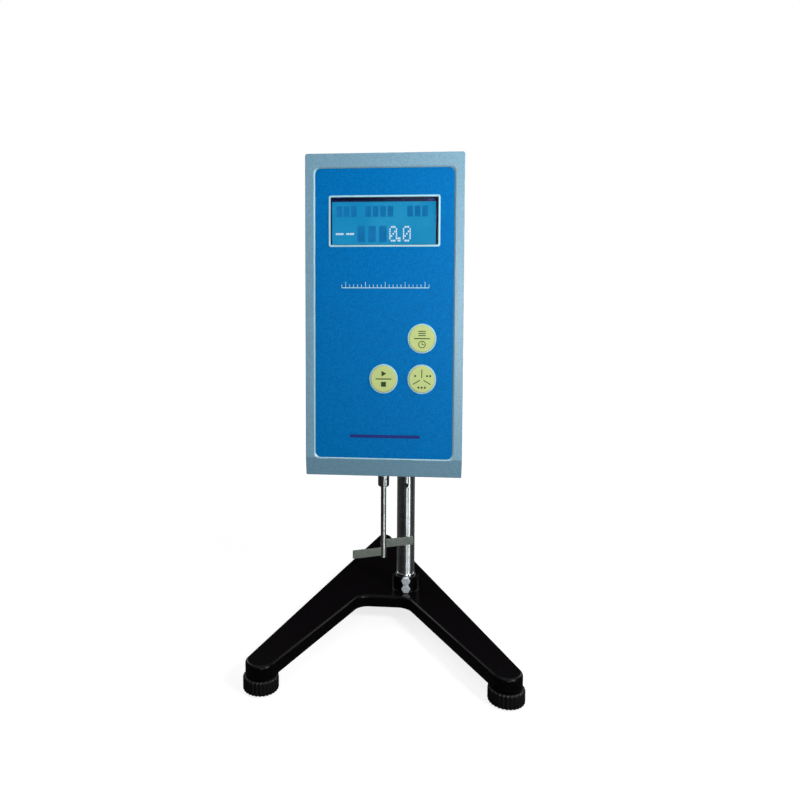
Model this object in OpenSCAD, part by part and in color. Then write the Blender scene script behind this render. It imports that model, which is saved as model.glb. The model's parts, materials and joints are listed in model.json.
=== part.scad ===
/* [Head casing] */
// Width of the head
head_w = 120; // [116:1:140]
// Height of the head's bottom above the bench
head_bottom = 152; // [146:1:160]
// Height of the head from its bottom to its top
head_h = 248; // [244:1:270]
// Distance from the spindle axis to the front face
head_front = 49; // [48:0.5:54]
// Depth of the head from front to back
head_depth = 82; // [80:1:90]
// Corner radius of the head seen from the front
head_corner_r = 2.5; // [1.5:0.5:4]
// Wall thickness of the metal cover
cover_wall = 2; // [1.5:0.1:2.4]
// Depth of the front frame
bezel_d = 12; // [12:0.5:14]
// Height of the sloping chin under the panel
chin_h = 14.7; // [13:0.1:16]
// How far the chin slopes back at its foot
chin_slope = 4; // [2:0.5:5]
// Thickness of the rear plate
rear_t = 3; // [2.5:0.1:4]
// Thickness of the bottom plate
bottom_t = 4; // [3:0.1:5]

/* [Front panel] */
// Width of the frame's border on each side of the blue panel
panel_side = 7.7; // [7:0.1:9]
// Width of the frame's border above the blue panel
panel_above = 11.3; // [11:0.1:14]
// Thickness of the blue panel
panel_t = 1.2; // [1:0.1:1.4]
// Depth of the recess that the panel lies in
recess_d = 2; // [1.8:0.1:2.4]
// Width of the sloping edge round the recess
recess_bevel = 1.1; // [0.5:0.1:1.4]
// Thickness of the frame wall behind the panel
bezel_wall = 2; // [1.6:0.1:2.4]
// Corner radius of the panel
panel_r = 4.2; // [3:0.1:6]
// Width of the display window
window_w = 81.4; // [78:0.2:84]
// Height of the display window
window_h = 36.2; // [34:0.2:40]
// Distance of the window's centre below the head's top
window_drop = 51; // [48:0.5:54]
// Width of the pale rim round the window
rim_w = 1.8; // [1.2:0.1:2.4]
// How far the window rim and the key rings stand out of the panel
rim_t = 0.4; // [0.2:0.1:0.6]

/* [Keys] */
// Width of a key
key_w = 19.4; // [18:0.1:20]
// Height of a key
key_h = 20.4; // [19:0.1:21]
// Sideways distance of the right hand keys from the middle
key_x = 29; // [28:0.2:31]
// Height of the lower keys above the bench
key_low_z = 228.8; // [224:0.2:231]
// Distance of the upper key above the lower ones
key_pitch_z = 31.2; // [29:0.2:36]
// Width of the pale ring round a key
key_ring_w = 0.9; // [0.6:0.1:1.2]
// How far a key stands out of the panel
key_proud = 0.9; // [0.8:0.1:1.2]
// How far a key travels when it is pressed
key_travel = 0.7; // [0.4:0.1:0.8]

/* [Column and lift] */
// Diameter of the column
column_d = 16; // [14:0.5:18]
// Sideways distance of the column from the spindle
column_x = 19.8; // [17:0.2:22]
// Distance of the column behind the spindle
column_back = 51; // [50:0.5:54]
// Height of the column's top above the bench
column_top = 386; // [382:1:390]
// Height of the column's foot above the bench
column_foot = 15; // [14:0.5:17]
// Diameter of the cross hole in the column
cross_hole_d = 4; // [3:0.5:5]
// Height of the cross hole above the bench
cross_hole_z = 119.5; // [116:0.5:130]
// Outer diameter of the bright ring at the column's foot
ring_d = 18.3; // [18:0.1:19]
// Height of the bright ring
ring_h = 1.5; // [1:0.1:2]
// Module of the rack and its pinion
rack_module = 1; // [0.9:0.05:1.1]
// Number of teeth of the lift pinion
pinion_teeth = 18; // [18:1:20]
// Height of the pinion's axis above the bench
pinion_z = 300; // [298:1:304]
// Face width of the pinion
pinion_w = 8; // [6:0.5:9]
// Diameter of the pinion shaft
pinion_shaft_d = 6; // [5:0.5:7]
// Diameter of the lift knob
lift_knob_d = 30; // [26:0.5:34]
// Length of the lift knob
lift_knob_l = 18; // [14:0.5:20]
// Width of the carriage body
carriage_w = 32; // [30:0.5:36]
// Height of the carriage
carriage_h = 72; // [66:1:78]
// Length of each carriage bush
bush_l = 12; // [8:0.5:14]
// Wall thickness of the carriage bush
bush_t = 2; // [1.5:0.1:2.5]
// Thickness of the carriage flange
flange_t = 6; // [5:0.5:7]
// Width of the carriage flange
flange_w = 58; // [56:1:60]
// How far the head can rise
lift_up = 45; // [30:1:48]
// How far the head can sink
lift_down = 45; // [30:1:50]

/* [Base] */
// Sideways distance of a front foot from the middle
foot_x = 89.8; // [85:0.2:95]
// Distance of the front feet in front of the spindle
foot_front = 86.5; // [80:0.5:92]
// Distance of the rear foot behind the spindle
foot_back = 158; // [150:0.5:160]
// Distance of the rounded rear tip's centre behind the spindle
tip_back = 178.5; // [174:0.5:184]
// Radius of the rear tip
tip_r = 6.9; // [6:0.1:9]
// Radius of an arm's end
arm_end_r = 11.6; // [11:0.1:12.4]
// Height of the base's top face above the bench
base_top = 23; // [22.5:0.1:25]
// Thickness of the base plate
base_t = 10; // [9:0.1:11]
// Distance of the crotch of the V behind the spindle
crotch_back = 29.3; // [24:0.1:32]
// Half width of the crotch where its straight edges would meet
crotch_half = 21; // [18:0.1:24]
// Radius of the fillets in the crotch
crotch_r = 13; // [9:2:13]
// Radius of the rounded top rim of the base
base_rim_r = 2.2; // [1.5:0.1:3]
// Diameter of the column boss
boss_d = 24; // [23:0.5:26]
// Height of the column boss above the base's top face
boss_h = 13.3; // [13:0.1:15]
// Hexagon width of the column's set bolts
bolt_af = 7; // [6:0.1:7]
// Thickness of a set bolt's head
bolt_head_t = 2.8; // [2:0.1:3.5]
// Distance between the two set bolts
bolt_pitch = 7.15; // [7.1:0.05:7.4]

/* [Feet] */
// Diameter of a foot knob
knob_d = 26.8; // [25:0.2:28]
// Height of a foot knob
knob_h = 10.5; // [9:0.1:10.8]
// Number of flutes round a foot knob
knob_flutes = 28; // [16:1:28]
// Height of the knob's lower edge above the bench
knob_bottom = 1.2; // [1:0.1:1.5]
// Diameter of the rubber pad under a foot
pad_d = 20; // [17:0.5:21]
// Height of the rubber pad
pad_h = 3; // [2.5:0.1:3.5]
// Diameter of a foot's threaded stud
stud_d = 6; // [5:0.5:8]
// Outer diameter of the threaded bush in an arm
foot_bush_d = 10; // [9.5:0.5:11]
// Depth of the bush in the arm
foot_bush_l = 8; // [6:0.5:8.5]

/* [Spindle and paddle] */
// Height of the rod's tip above the bench
rod_tip = 70; // [66:0.5:74]
// Diameter of the paddle rod
rod_d = 4.6; // [3.5:0.1:5]
// Diameter of the chuck
chuck_d = 9.4; // [8.6:0.1:10]
// Height of the chuck's lower end above the bench
chuck_bottom = 131; // [128:0.5:134]
// Length of the chuck
chuck_l = 19; // [17:0.5:20]
// Diameter of the spindle shaft
shaft_d = 6; // [5:0.5:6]
// Distance of the blade tips from the axis
blade_reach = 27; // [26:0.1:28]
// Height of a blade
blade_h = 6.8; // [6:0.1:8]
// Thickness of a blade
blade_t = 1.4; // [1:0.1:2]
// Height of the lower blade's bottom edge above the rod's tip
blade_low = 1.7; // [1:0.1:3]
// Height of the upper blade's bottom edge above the rod's tip
blade_high = 8.4; // [8:0.1:10]
// Angle of the paddle at rest
blade_turn = 21.6; // [15:0.1:25]

/* [Drive inside the head] */
// Module of the drive gears
drive_module = 0.8; // [0.7:0.05:0.8]
// Number of teeth of the drive gear
drive_teeth = 60; // [50:10:60]
// Number of teeth of the motor pinion
motor_teeth = 15; // [15:1:18]
// Face width of the drive gears
drive_w = 6; // [4:0.5:7]
// Height of the upper bearing plate above the bench
upper_plate_z = 216; // [212:1:222]
// Thickness of the upper bearing plate
upper_plate_t = 5; // [4:0.5:6]
// Diameter of the motor
motor_d = 34; // [30:1:34]
// Length of the motor
motor_l = 44; // [36:1:46]
// Outer diameter of the shaft bearings
bearing_d = 16; // [14:0.5:18]
// Height of the shaft bearings
bearing_h = 5; // [4:0.5:5]
// Diameter of the slotted disc
disc_d = 44; // [40:1:46]
// Number of slots in the disc
disc_slots = 30; // [24:6:36]
// Number of turns of the spiral spring
spring_turns = 4; // [3:1:5]

/* [Hidden] */

// Small clearances, measured on the radius or per side
run_gap = 0.05;
slide_gap = 0.04;
body_gap = 0.3;
part_gap = 0.1;
eps = 0.01;
$fn = 48;

// Places along Y are measured from the spindle axis, and the whole is then centred on its base
spindle_y = (foot_front + max(knob_d / 2, arm_end_r) - tip_back - tip_r) / 2;
column_r = column_d / 2;
head_top = head_bottom + head_h;
head_rear = head_depth - head_front;
front_y = -head_front;
chin_gap = 0.4;
panel_w = head_w - 2 * panel_side;
panel_h = head_h - chin_h - chin_gap - panel_above;
window_z = head_top - window_drop;
panel_back_y = front_y + recess_d;
panel_front_y = panel_back_y - panel_t;
bezel_inner_y = panel_back_y + bezel_wall;
bezel_back_y = front_y + bezel_d;
rear_inner_y = head_rear - rear_t;
panel_bottom = head_bottom + chin_h + chin_gap;

// The four long screws that hold the casing together
tie_r = 1.5;
tie_boss_r = 4.2;
tie_x = head_w / 2 - cover_wall - tie_boss_r + 0.2;
tie_low = head_bottom + bottom_t + tie_boss_r;
tie_high = head_top - cover_wall - tie_boss_r + 0.2;
tie_places = [for (x = [-tie_x, tie_x], z = [tie_low, tie_high]) [x, z]];

// Keys
key_places = [[key_x, key_low_z + key_pitch_z], [0, key_low_z], [key_x, key_low_z]];
key_gap = 0.2;
key_lip = 1.2;
key_lip_t = 1;
key_stem_r = 3;
key_front_y = panel_front_y - key_proud;
key_stem_end_y = bezel_inner_y + 1;
plunger_y = key_stem_end_y + key_travel + part_gap;
switch_y = plunger_y + 2.2;
switch_board_y = switch_y + 3;
board_t = 1.6;

// Rack and pinion
rack_tip = column_r - 0.6 * rack_module;
rack_pitch = rack_tip - 0.9 * rack_module;
rack_root = rack_pitch - 1.15 * rack_module;
pinion_pitch_r = pinion_teeth * rack_module / 2;
pinion_tip_r = pinion_pitch_r + 0.9 * rack_module;
pinion_root_r = pinion_pitch_r - 1.15 * rack_module;
pinion_y = column_back + rack_pitch + pinion_pitch_r;
rack_tooth = PI * rack_module;
rack_reach = 12;
teeth_down = ceil((lift_down + rack_reach) / rack_tooth);
teeth_up = ceil((lift_up + rack_reach) / rack_tooth);
backlash = 0.2;
press_angle = 20;
pinion_shaft_r = pinion_shaft_d / 2;

// Carriage
carriage_low = pinion_z - carriage_h / 2;
carriage_high = pinion_z + carriage_h / 2;
flange_y = head_rear + flange_t;
pinion_room = pinion_tip_r + 0.6;
carriage_back = pinion_y + pinion_room + 3;
bolt_x = flange_w / 2 - 6;
bolt_z = carriage_h / 2 - 8;
bolt_r = 2.5;
bolt_head_r = 4.25;
bolt_head_l = 4.5;
lock_r = 2.5;
lock_knob_d = 20;
lock_knob_l = 14;
lift_knob_x = column_x + carriage_w / 2 + body_gap + 0.2;

// Base
base_bottom = base_top - base_t;
boss_top = base_top + boss_h;
foot_places = [[-foot_x, -foot_front], [foot_x, -foot_front], [0, foot_back]];
knob_top = knob_bottom + knob_h;
stud_foot = knob_bottom + 4;
stud_top = base_bottom + foot_bush_l - 0.5;
knob_recess_z = pad_h + 0.2;

// Direction of the crotch's slanting edge, which touches the round arm end
slant_dx = foot_x - crotch_half;
slant_dy = foot_front + crotch_back;
slant_len = sqrt(slant_dx * slant_dx + slant_dy * slant_dy);
slant_angle = atan2(slant_dx, slant_dy) - asin(arm_end_r / slant_len);

// Rotor
shaft_r = shaft_d / 2;
shaft_foot = chuck_bottom + 8;
bearing_low_z = head_bottom + bottom_t - 1;
shaft_top = upper_plate_z + upper_plate_t + 5;
drive_r = drive_teeth * drive_module / 2;
motor_pinion_r = motor_teeth * drive_module / 2;
motor_x = -(drive_r + motor_pinion_r);
motor_shaft_r = 2;
drive_low_z = upper_plate_z - 7 - drive_w;
drive_high_z = drive_low_z + drive_w;
disc_z = drive_low_z - 23;
disc_t = 1;
hub_r = 6;
hub_foot = disc_z - 5;
spring_low_z = disc_z + 11;
spring_h = 3;
spring_t = 0.5;
spring_out_r = 16.4;
post_r = 1;
post_x = spring_out_r + spring_t / 2 + post_r;

// Connectors on the rear plate
plug_x = -34;
inlet_z = head_top - 30;
switch_z = inlet_z - 28;
serial_z = switch_z - 27;
inlet_w = 27;
inlet_h = 19.6;
rocker_w = 13;
rocker_h = 17.2;
rocker_room = 1;
rocker_tilt = 8;
rocker_y = head_rear - 1;

// Colours
frame_grey = "#7ca3b8";
panel_blue = "#026cac";
key_green = "#b3c679";
rim_pale = "#b9dcea";
black_paint = "#141214";

// Moves a piece from the spindle's own place to its place on the centred base
module placed() translate([0, spindle_y, 0]) children();

// Rectangle with round corners, centred on X and standing on Y = 0
module round_rect(w, h, r) {
    translate([r - w / 2, 0]) square([w - 2 * r, h]);
    translate([-w / 2, r]) square([w, h - 2 * r]);
    for (x = [r - w / 2, w / 2 - r], y = [r, h - r]) translate([x, y]) circle(r = r);
}

// Upright plate with its front face at y and its lower edge at z
module plate(w, h, t, r, y, z, x = 0) {
    translate([x, y + t, z]) rotate([90, 0, 0]) linear_extrude(t) round_rect(w, h, r);
}

// Oval outline of a key
module oval(w, h) polygon([for (a = [0:7.5:352.5]) [w / 2 * cos(a), h / 2 * sin(a)]]);

// Oval block from the front face y to the back, at a key's place
module oval_block(p, grow, y, t) {
    translate([p[0], y + t, p[1]]) rotate([90, 0, 0])
        linear_extrude(t) oval(key_w + 2 * grow, key_h + 2 * grow);
}

// Round bar along Y
module bar_y(x, y, z, r, l) translate([x, y + l, z]) rotate([90, 0, 0]) cylinder(r = r, h = l);

// Round bar along X
module bar_x(x, y, z, r, l) translate([x, y, z]) rotate([0, 90, 0]) cylinder(r = r, h = l);

// Box given by its lowest corner and its highest corner
module box(a, b) translate(a) cube(b - a);

// Hexagon bar along Y with corners to the left and the right
module hex_y(x, y, z, af, l) {
    translate([x, y + l, z]) rotate([90, 0, 0]) cylinder(d = af / cos(30), h = l, $fn = 6);
}

// Involute of an angle in degrees, as degrees
function involute(a) = tan(a) * 180 / PI - a;

// Half of a tooth's angle at radius r, for n teeth of module m
function half_tooth(m, n, r) = let (
        pitch = m * n / 2,
        base = pitch * cos(press_angle),
        at_r = r > base ? acos(base / r) : 0)
    90 / n - backlash / 2 / pitch * 90 / PI + involute(press_angle) - involute(at_r);

// Outline of a spur gear whose tooth 0 points at the angle start
module gear_outline(m, n, root, tip, start) {
    base = m * n / 2 * cos(press_angle);
    lowest = max(root, base);
    steps = [for (i = [0:3]) lowest + (tip - lowest) * i / 3];
    polygon([for (k = [0:n - 1], side = [-1, 1], i = [0:4])
        let (
            rise = side < 0 ? i : 4 - i,
            r = rise == 0 ? root : steps[rise - 1],
            a = start + 360 * k / n + side * half_tooth(m, n, max(r, lowest)))
        [r * cos(a), r * sin(a)]]);
}

// Disc with a rounded upper rim, used inside a hull
module rimmed_disc(p, r) {
    translate([p[0], p[1], base_bottom]) {
        cylinder(r = r - 0.6, h = base_t / 2);
        translate([0, 0, 0.6]) cylinder(r = r, h = base_t - base_rim_r - 0.6);
        for (a = [30, 60, 90]) cylinder(
            r = r - base_rim_r * (1 - cos(a)), h = base_t - base_rim_r * (1 - sin(a)));
    }
}

// Centre of the disc in an arm's root that touches both edges of the crotch
root_r = 5;
root_shift = root_r * (1 - sin(slant_angle)) / cos(slant_angle);
function arm_root(side) = [side * (crotch_half + root_shift), crotch_back + root_r];

// Web that fills one corner of the crotch with a concave fillet
module crotch_fillet(side) {
    reach = crotch_r * tan((90 - slant_angle) / 2);
    flare = base_rim_r;
    mirror([side < 0 ? 1 : 0, 0, 0]) difference() {
        translate([0, 0, base_bottom]) linear_extrude(base_t) polygon([
            [crotch_half - reach, crotch_back],
            [crotch_half - reach, crotch_back + 1],
            [crotch_half + 1, crotch_back + 1],
            [crotch_half + reach * sin(slant_angle) + 1, crotch_back - reach * cos(slant_angle)],
            [crotch_half + reach * sin(slant_angle), crotch_back - reach * cos(slant_angle)],
            [crotch_half - reach, crotch_back - crotch_r]]);
        translate([crotch_half - reach, crotch_back - crotch_r, base_bottom - 1])
            rotate_extrude() polygon(concat(
                [[0, 0], [crotch_r, 0]],
                [for (a = [0:15:90]) [
                    crotch_r + flare * (1 - cos(a)), base_t + 1 - flare * (1 - sin(a))]],
                [[crotch_r + flare, base_t + 2], [0, base_t + 2]]));
    }
}

module base_casting() placed() color(black_paint) difference() {
    union() {
        for (i = [0, 1]) hull() {
            side = i == 0 ? -1 : 1;
            rimmed_disc(foot_places[i], arm_end_r);
            rimmed_disc([0, tip_back], tip_r);
            rimmed_disc(arm_root(side), root_r);
        }
        hull() {
            rimmed_disc([0, tip_back], tip_r);
            rimmed_disc(arm_root(-1), root_r);
            rimmed_disc(arm_root(1), root_r);
        }
        for (side = [-1, 1]) crotch_fillet(side);
        translate([column_x, column_back, 0]) rotate_extrude() polygon([
            [0, base_top - 2], [boss_d / 2 + 0.6, base_top - 2], [boss_d / 2 + 0.6, base_top],
            [boss_d / 2 + 0.1, base_top + 0.15], [boss_d / 2, base_top + 0.5],
            [boss_d / 2, boss_top - 0.8], [boss_d / 2 - 0.8, boss_top], [0, boss_top]]);
    }
    translate([column_x, column_back, column_foot]) cylinder(r = column_r, h = boss_top);
    for (z = bolt_heights) bar_y(column_x, column_back - boss_d, z, bolt_shank_r + run_gap, boss_d);
    for (p = foot_places) translate([p[0], p[1], base_bottom - 1])
        cylinder(d = foot_bush_d, h = foot_bush_l + 1);
}

bolt_shank_r = 2;
bolt_low_z = base_top + bolt_af / 2 + 0.2;
bolt_heights = [bolt_low_z, bolt_low_z + bolt_pitch];
boss_front_y = column_back - boss_d / 2;

module column() placed() color("#b4b6b4") translate([column_x, column_back, 0]) difference() {
    rotate_extrude() polygon([[0, column_foot], [column_r - 0.8, column_foot],
        [column_r, column_foot + 0.8], [column_r, column_top - 0.6],
        [column_r - 0.6, column_top], [0, column_top]]);
    bar_y(0, -column_r - 1, cross_hole_z, cross_hole_d / 2, column_d + 2);
    translate([0, 0, column_top - cap_spigot_l]) cylinder(r = cap_spigot_r, h = cap_spigot_l + 1);
    box([-column_r, rack_tip, pinion_z - (teeth_down + 0.5) * rack_tooth],
        [column_r, column_r + 1, pinion_z + (teeth_up + 0.5) * rack_tooth]);
    for (k = [-teeth_down:teeth_up]) translate([-column_r, 0, pinion_z + k * rack_tooth])
        rotate([90, 0, 90]) linear_extrude(column_d) rack_groove();
}

cap_spigot_r = 4;
cap_spigot_l = 9;
cap_h = 4;

// Outline of one groove between two rack teeth, in Y and Z
module rack_groove() {
    half = rack_tooth / 4 + backlash / 4;
    deep = (rack_pitch - rack_root) * tan(press_angle);
    wide = (column_r + 1 - rack_pitch) * tan(press_angle);
    polygon([[rack_root, deep - half], [column_r + 1, -half - wide],
        [column_r + 1, half + wide], [rack_root, half - deep]]);
}

module column_cap() placed() color("#202022") translate([column_x, column_back, 0]) {
    rotate_extrude() polygon([[0, column_top - cap_spigot_l + 1],
        [cap_spigot_r - 0.1, column_top - cap_spigot_l + 1], [cap_spigot_r - 0.1, column_top],
        [column_r, column_top], [column_r, column_top + cap_h - 1.5],
        [column_r - 1.5, column_top + cap_h], [0, column_top + cap_h]]);
}

module column_ring() placed() color("#dfe6ea") translate([column_x, column_back, 0])
    rotate_extrude() polygon([[column_r + run_gap, boss_top], [ring_d / 2, boss_top],
        [ring_d / 2, boss_top + ring_h - 0.5], [ring_d / 2 - 0.5, boss_top + ring_h],
        [column_r + run_gap, boss_top + ring_h]]);

module set_bolts() placed() color("#d5dde2") for (z = bolt_heights) {
    hex_y(column_x, boss_front_y - bolt_head_t, z, bolt_af, bolt_head_t);
    bar_y(column_x, boss_front_y - eps, z, bolt_shank_r, boss_d / 2 - column_r);
}

module foot_bushes() placed() color("#b99a4a") for (p = foot_places)
    translate([p[0], p[1], base_bottom]) difference() {
        cylinder(d = foot_bush_d, h = foot_bush_l);
        translate([0, 0, -1]) cylinder(r = stud_d / 2 + run_gap, h = foot_bush_l + 2);
    }

// Rubber pad at foot i
module foot_pad(i) placed() color("#26262a") translate([foot_places[i][0], foot_places[i][1], 0])
    rotate_extrude() polygon([[0, 0], [pad_d / 2 - 0.6, 0], [pad_d / 2, 0.6],
        [pad_d / 2, pad_h], [0, pad_h]]);

// Fluted knob at foot i
module foot_knob(i) placed() color("#161618")
    translate([foot_places[i][0], foot_places[i][1], 0]) difference() {
        rotate_extrude() polygon([[0, knob_bottom], [knob_d / 2 - 1, knob_bottom],
            [knob_d / 2, knob_bottom + 1], [knob_d / 2, knob_top - 1.6],
            [knob_d / 2 - 1.6, knob_top], [0, knob_top]]);
        cylinder(d = pad_d + 0.6, h = 2 * knob_recess_z, center = true);
        cylinder(d = stud_d, h = knob_top + 1);
        for (k = [0:knob_flutes - 1]) rotate(360 * k / knob_flutes)
            translate([knob_d / 2 + 0.45, 0, 0]) cylinder(r = 1.05, h = knob_top + 1, $fn = 16);
    }

// Threaded stud at foot i
module foot_stud(i) placed() color("#aeb2b4")
    translate([foot_places[i][0], foot_places[i][1], stud_foot])
        rotate_extrude() polygon([[0, 0], [stud_d / 2, 0], [stud_d / 2, stud_top - stud_foot - 0.6],
            [stud_d / 2 - 0.6, stud_top - stud_foot], [0, stud_top - stud_foot]]);

module foot_pad_left() foot_pad(0);
module foot_pad_right() foot_pad(1);
module foot_pad_rear() foot_pad(2);
module foot_knob_left() foot_knob(0);
module foot_knob_right() foot_knob(1);
module foot_knob_rear() foot_knob(2);
module foot_stud_left() foot_stud(0);
module foot_stud_right() foot_stud(1);
module foot_stud_rear() foot_stud(2);

// Recess of the panel with its sloping edge
module panel_recess() {
    hull() {
        plate(panel_w + 2 * part_gap, panel_h + 2 * part_gap, eps, panel_r,
            front_y + recess_bevel, panel_bottom - part_gap);
        plate(panel_w + 2 * recess_bevel, panel_h + recess_bevel, eps, panel_r + recess_bevel / 2,
            front_y - eps, panel_bottom - part_gap);
    }
    plate(panel_w + 2 * part_gap, panel_h + 2 * part_gap, recess_d, panel_r,
        front_y, panel_bottom - part_gap);
}

module front_frame() placed() color(frame_grey) difference() {
    plate(head_w, head_h, bezel_d, head_corner_r, front_y, head_bottom);
    translate([-head_w, 0, 0]) rotate([90, 0, 90]) linear_extrude(2 * head_w) polygon([
        [front_y - 1, head_bottom - 1], [front_y - 1, head_bottom + chin_h],
        [front_y, head_bottom + chin_h], [front_y + chin_slope, head_bottom],
        [front_y + chin_slope, head_bottom - 1]]);
    panel_recess();
    difference() {
        plate(head_w - 2 * frame_wall, head_top - frame_wall - frame_room_z, bezel_d, 1.5,
            bezel_inner_y, frame_room_z);
        for (x = [-tie_x, tie_x]) bar_y(x, bezel_inner_y - 1, tie_high, tie_boss_r, bezel_d);
    }
    plate(window_w - 2.4, window_h - 2.4, bezel_wall + 2, 0.8, panel_back_y - 1,
        window_z - window_h / 2 + 1.2);
    for (p = key_places) oval_block(p, key_lip + 0.4, panel_back_y - 1, bezel_wall + 2);
    for (p = tie_places) bar_y(p[0], tie_tip_y - 1, p[1], tie_r + run_gap, bezel_d);
}

frame_wall = 3;
frame_room_z = head_bottom + chin_h + 1;
tie_tip_y = bezel_inner_y + 3;

module front_panel() placed() color(panel_blue) difference() {
    plate(panel_w, panel_h, panel_t, panel_r, panel_front_y, panel_bottom);
    plate(window_w, window_h, panel_t + 2, 0.8, panel_front_y - 1, window_z - window_h / 2);
    for (p = key_places) oval_block(p, key_gap, panel_front_y - 1, panel_t + 2);
}

module window_lens() placed() color("#b8d8e8", 0.4)
    plate(window_w - 2 * part_gap, window_h - 2 * part_gap, panel_t, 0.7, panel_front_y,
        window_z - window_h / 2 + part_gap);

module window_rim() placed() color(rim_pale) difference() {
    plate(window_w + 2 * rim_w, window_h + 2 * rim_w, rim_t, 1.6, panel_front_y - rim_t,
        window_z - window_h / 2 - rim_w);
    plate(window_w, window_h, rim_t + 2, 0.8, panel_front_y - rim_t - 1, window_z - window_h / 2);
}

module key_rings() placed() color(rim_pale) for (p = key_places) difference() {
    oval_block(p, key_gap + key_ring_w, panel_front_y - rim_t, rim_t);
    oval_block(p, key_gap, panel_front_y - rim_t - 1, rim_t + 2);
}

// Key i with its lip behind the panel and its stem
module key(i) placed() color(key_green) {
    p = key_places[i];
    oval_block(p, 0, key_front_y + 0.3, panel_back_y + part_gap - key_front_y - 0.2);
    oval_block(p, -0.3, key_front_y, 0.4);
    oval_block(p, key_lip, panel_back_y + part_gap, key_lip_t);
    bar_y(p[0], panel_back_y + key_lip_t, p[1], key_stem_r,
        key_stem_end_y - panel_back_y - key_lip_t);
}

module key_print() key(0);
module key_run() key(1);
module key_units() key(2);

module lcd_module() placed() color("#1b2a38") difference() {
    plate(window_w + 8, window_h + 6, 8, 0.8, bezel_inner_y, window_z - window_h / 2 - 3);
    plate(window_w - 3, window_h - 1.6, 2, 0.4, bezel_inner_y - 1, window_z - window_h / 2 + 0.8);
}

// Circuit board standing upright with four fixing holes
module board(x, w, z, h, y) {
    difference() {
        box([x - w / 2, y, z], [x + w / 2, y + board_t, z + h]);
        for (p = board_corners(x, w, z, h)) bar_y(p[0], y - 1, p[1], 1.6, board_t + 2);
    }
}
function board_corners(x, w, z, h) =
    [for (dx = [3 - w / 2, w / 2 - 3], dz = [3, h - 3]) [x + dx, z + dz]];

key_board_x = key_x / 2;
key_board_w = key_x + 33;
key_board_z = key_low_z - 21;
key_board_h = key_pitch_z + 39;
main_board_w = head_w - 28;
main_board_z = key_board_z + key_board_h + 1;
main_board_h = tie_high - tie_boss_r - 1 - main_board_z;
main_board_y = bezel_back_y + 13;
chip_w = 16;
chip_h = 14;

module keypad_board() placed() color("#1f6b3a")
    board(key_board_x, key_board_w, key_board_z, key_board_h, switch_board_y);

module tact_switches() placed() color("#2b2b2e") for (p = key_places) {
    box([p[0] - 3, switch_y, p[1] - 3], [p[0] + 3, switch_board_y, p[1] + 3]);
    bar_y(p[0], plunger_y, p[1], 1.75, switch_y - plunger_y + eps);
}

module main_board() placed() color("#1f6b3a") {
    board(0, main_board_w, main_board_z, main_board_h, main_board_y);
    for (share = [-0.26, 0, 0.24]) plate(chip_w, chip_h, 2 + eps, 0.5,
        main_board_y + board_t - eps, main_board_z + 20, share * main_board_w);
    for (share = [-0.33, -0.15, 0.33])
        bar_y(share * main_board_w, main_board_y + board_t - eps, main_board_z + 60, 4, 9);
}

module board_standoffs() placed() color("#c9ccce") {
    for (p = board_corners(key_board_x, key_board_w, key_board_z, key_board_h))
        bar_y(p[0], bezel_inner_y, p[1], 2.5, switch_board_y - bezel_inner_y);
    for (p = board_corners(0, main_board_w, main_board_z, main_board_h))
        bar_y(p[0], bezel_inner_y, p[1], 2.5, main_board_y - bezel_inner_y);
}

vial_y = -5;
vial_r = 7;

module cover() placed() color("#9fb0ba") difference() {
    union() {
        difference() {
            plate(head_w, head_h, rear_inner_y - bezel_back_y, head_corner_r,
                bezel_back_y, head_bottom);
            plate(head_w - 2 * cover_wall, head_h - cover_wall + 10, head_depth, 1,
                bezel_back_y - 1, head_bottom - 10);
        }
        for (p = tie_places) bar_y(p[0], bezel_back_y, p[1], tie_boss_r,
            rear_inner_y - bezel_back_y);
    }
    for (p = tie_places) bar_y(p[0], bezel_back_y - 1, p[1], tie_r + 0.2, head_depth);
    translate([0, vial_y, head_top - 10]) cylinder(r = vial_r + part_gap, h = 20);
}

module level_vial() placed() color("#c8e070", 0.7) translate([0, vial_y, head_top - 9])
    cylinder(r = vial_r, h = 9);

module rear_plate() placed() color("#8b9aa4") difference() {
    plate(head_w, head_h, rear_t, head_corner_r, rear_inner_y, head_bottom);
    for (p = tie_places) bar_y(p[0], rear_inner_y - 1, p[1], tie_r + 0.2, rear_t + 2);
    for (x = [-bolt_x, bolt_x], z = [-bolt_z, bolt_z])
        bar_y(column_x + x, rear_inner_y - 1, pinion_z + z, bolt_r + 0.2, rear_t + 2);
    plate(inlet_w + 0.4, inlet_h + 0.4, rear_t + 2, 1, rear_inner_y - 1,
        inlet_z - inlet_h / 2 - 0.2, plug_x);
    plate(rocker_w + 5.4, rocker_h + 6.4, rear_t + 2, 1, rear_inner_y - 1,
        switch_z - rocker_h / 2 - 3.2, plug_x);
    plate(20.4, 10.4, rear_t + 2, 1, rear_inner_y - 1, serial_z - 5.2, plug_x);
}

module bottom_plate() placed() color("#8b9aa4") difference() {
    union() {
        box([part_gap + cover_wall - head_w / 2, bezel_back_y + part_gap, head_bottom],
            [head_w / 2 - cover_wall - part_gap, rear_inner_y - part_gap, head_bottom + bottom_t]);
        translate([0, 0, head_bottom]) cylinder(r = bearing_d / 2 + 4, h = bottom_t + bearing_h - 1);
    }
    translate([0, 0, bearing_low_z]) cylinder(d = bearing_d, h = 20);
    translate([0, 0, head_bottom - 1]) cylinder(r = bearing_d / 2 - 2, h = 20);
}

module case_screws() placed() color("#b8bdc0") for (p = tie_places) {
    bar_y(p[0], tie_tip_y, p[1], tie_r, head_rear - tie_tip_y + eps);
    translate([p[0], head_rear, p[1]]) rotate([-90, 0, 0]) difference() {
        cylinder(r1 = 2.8, r2 = 2.2, h = 2);
        translate([0, 0, 1]) cylinder(d = 2.9, h = 2, $fn = 6);
    }
}

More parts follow.
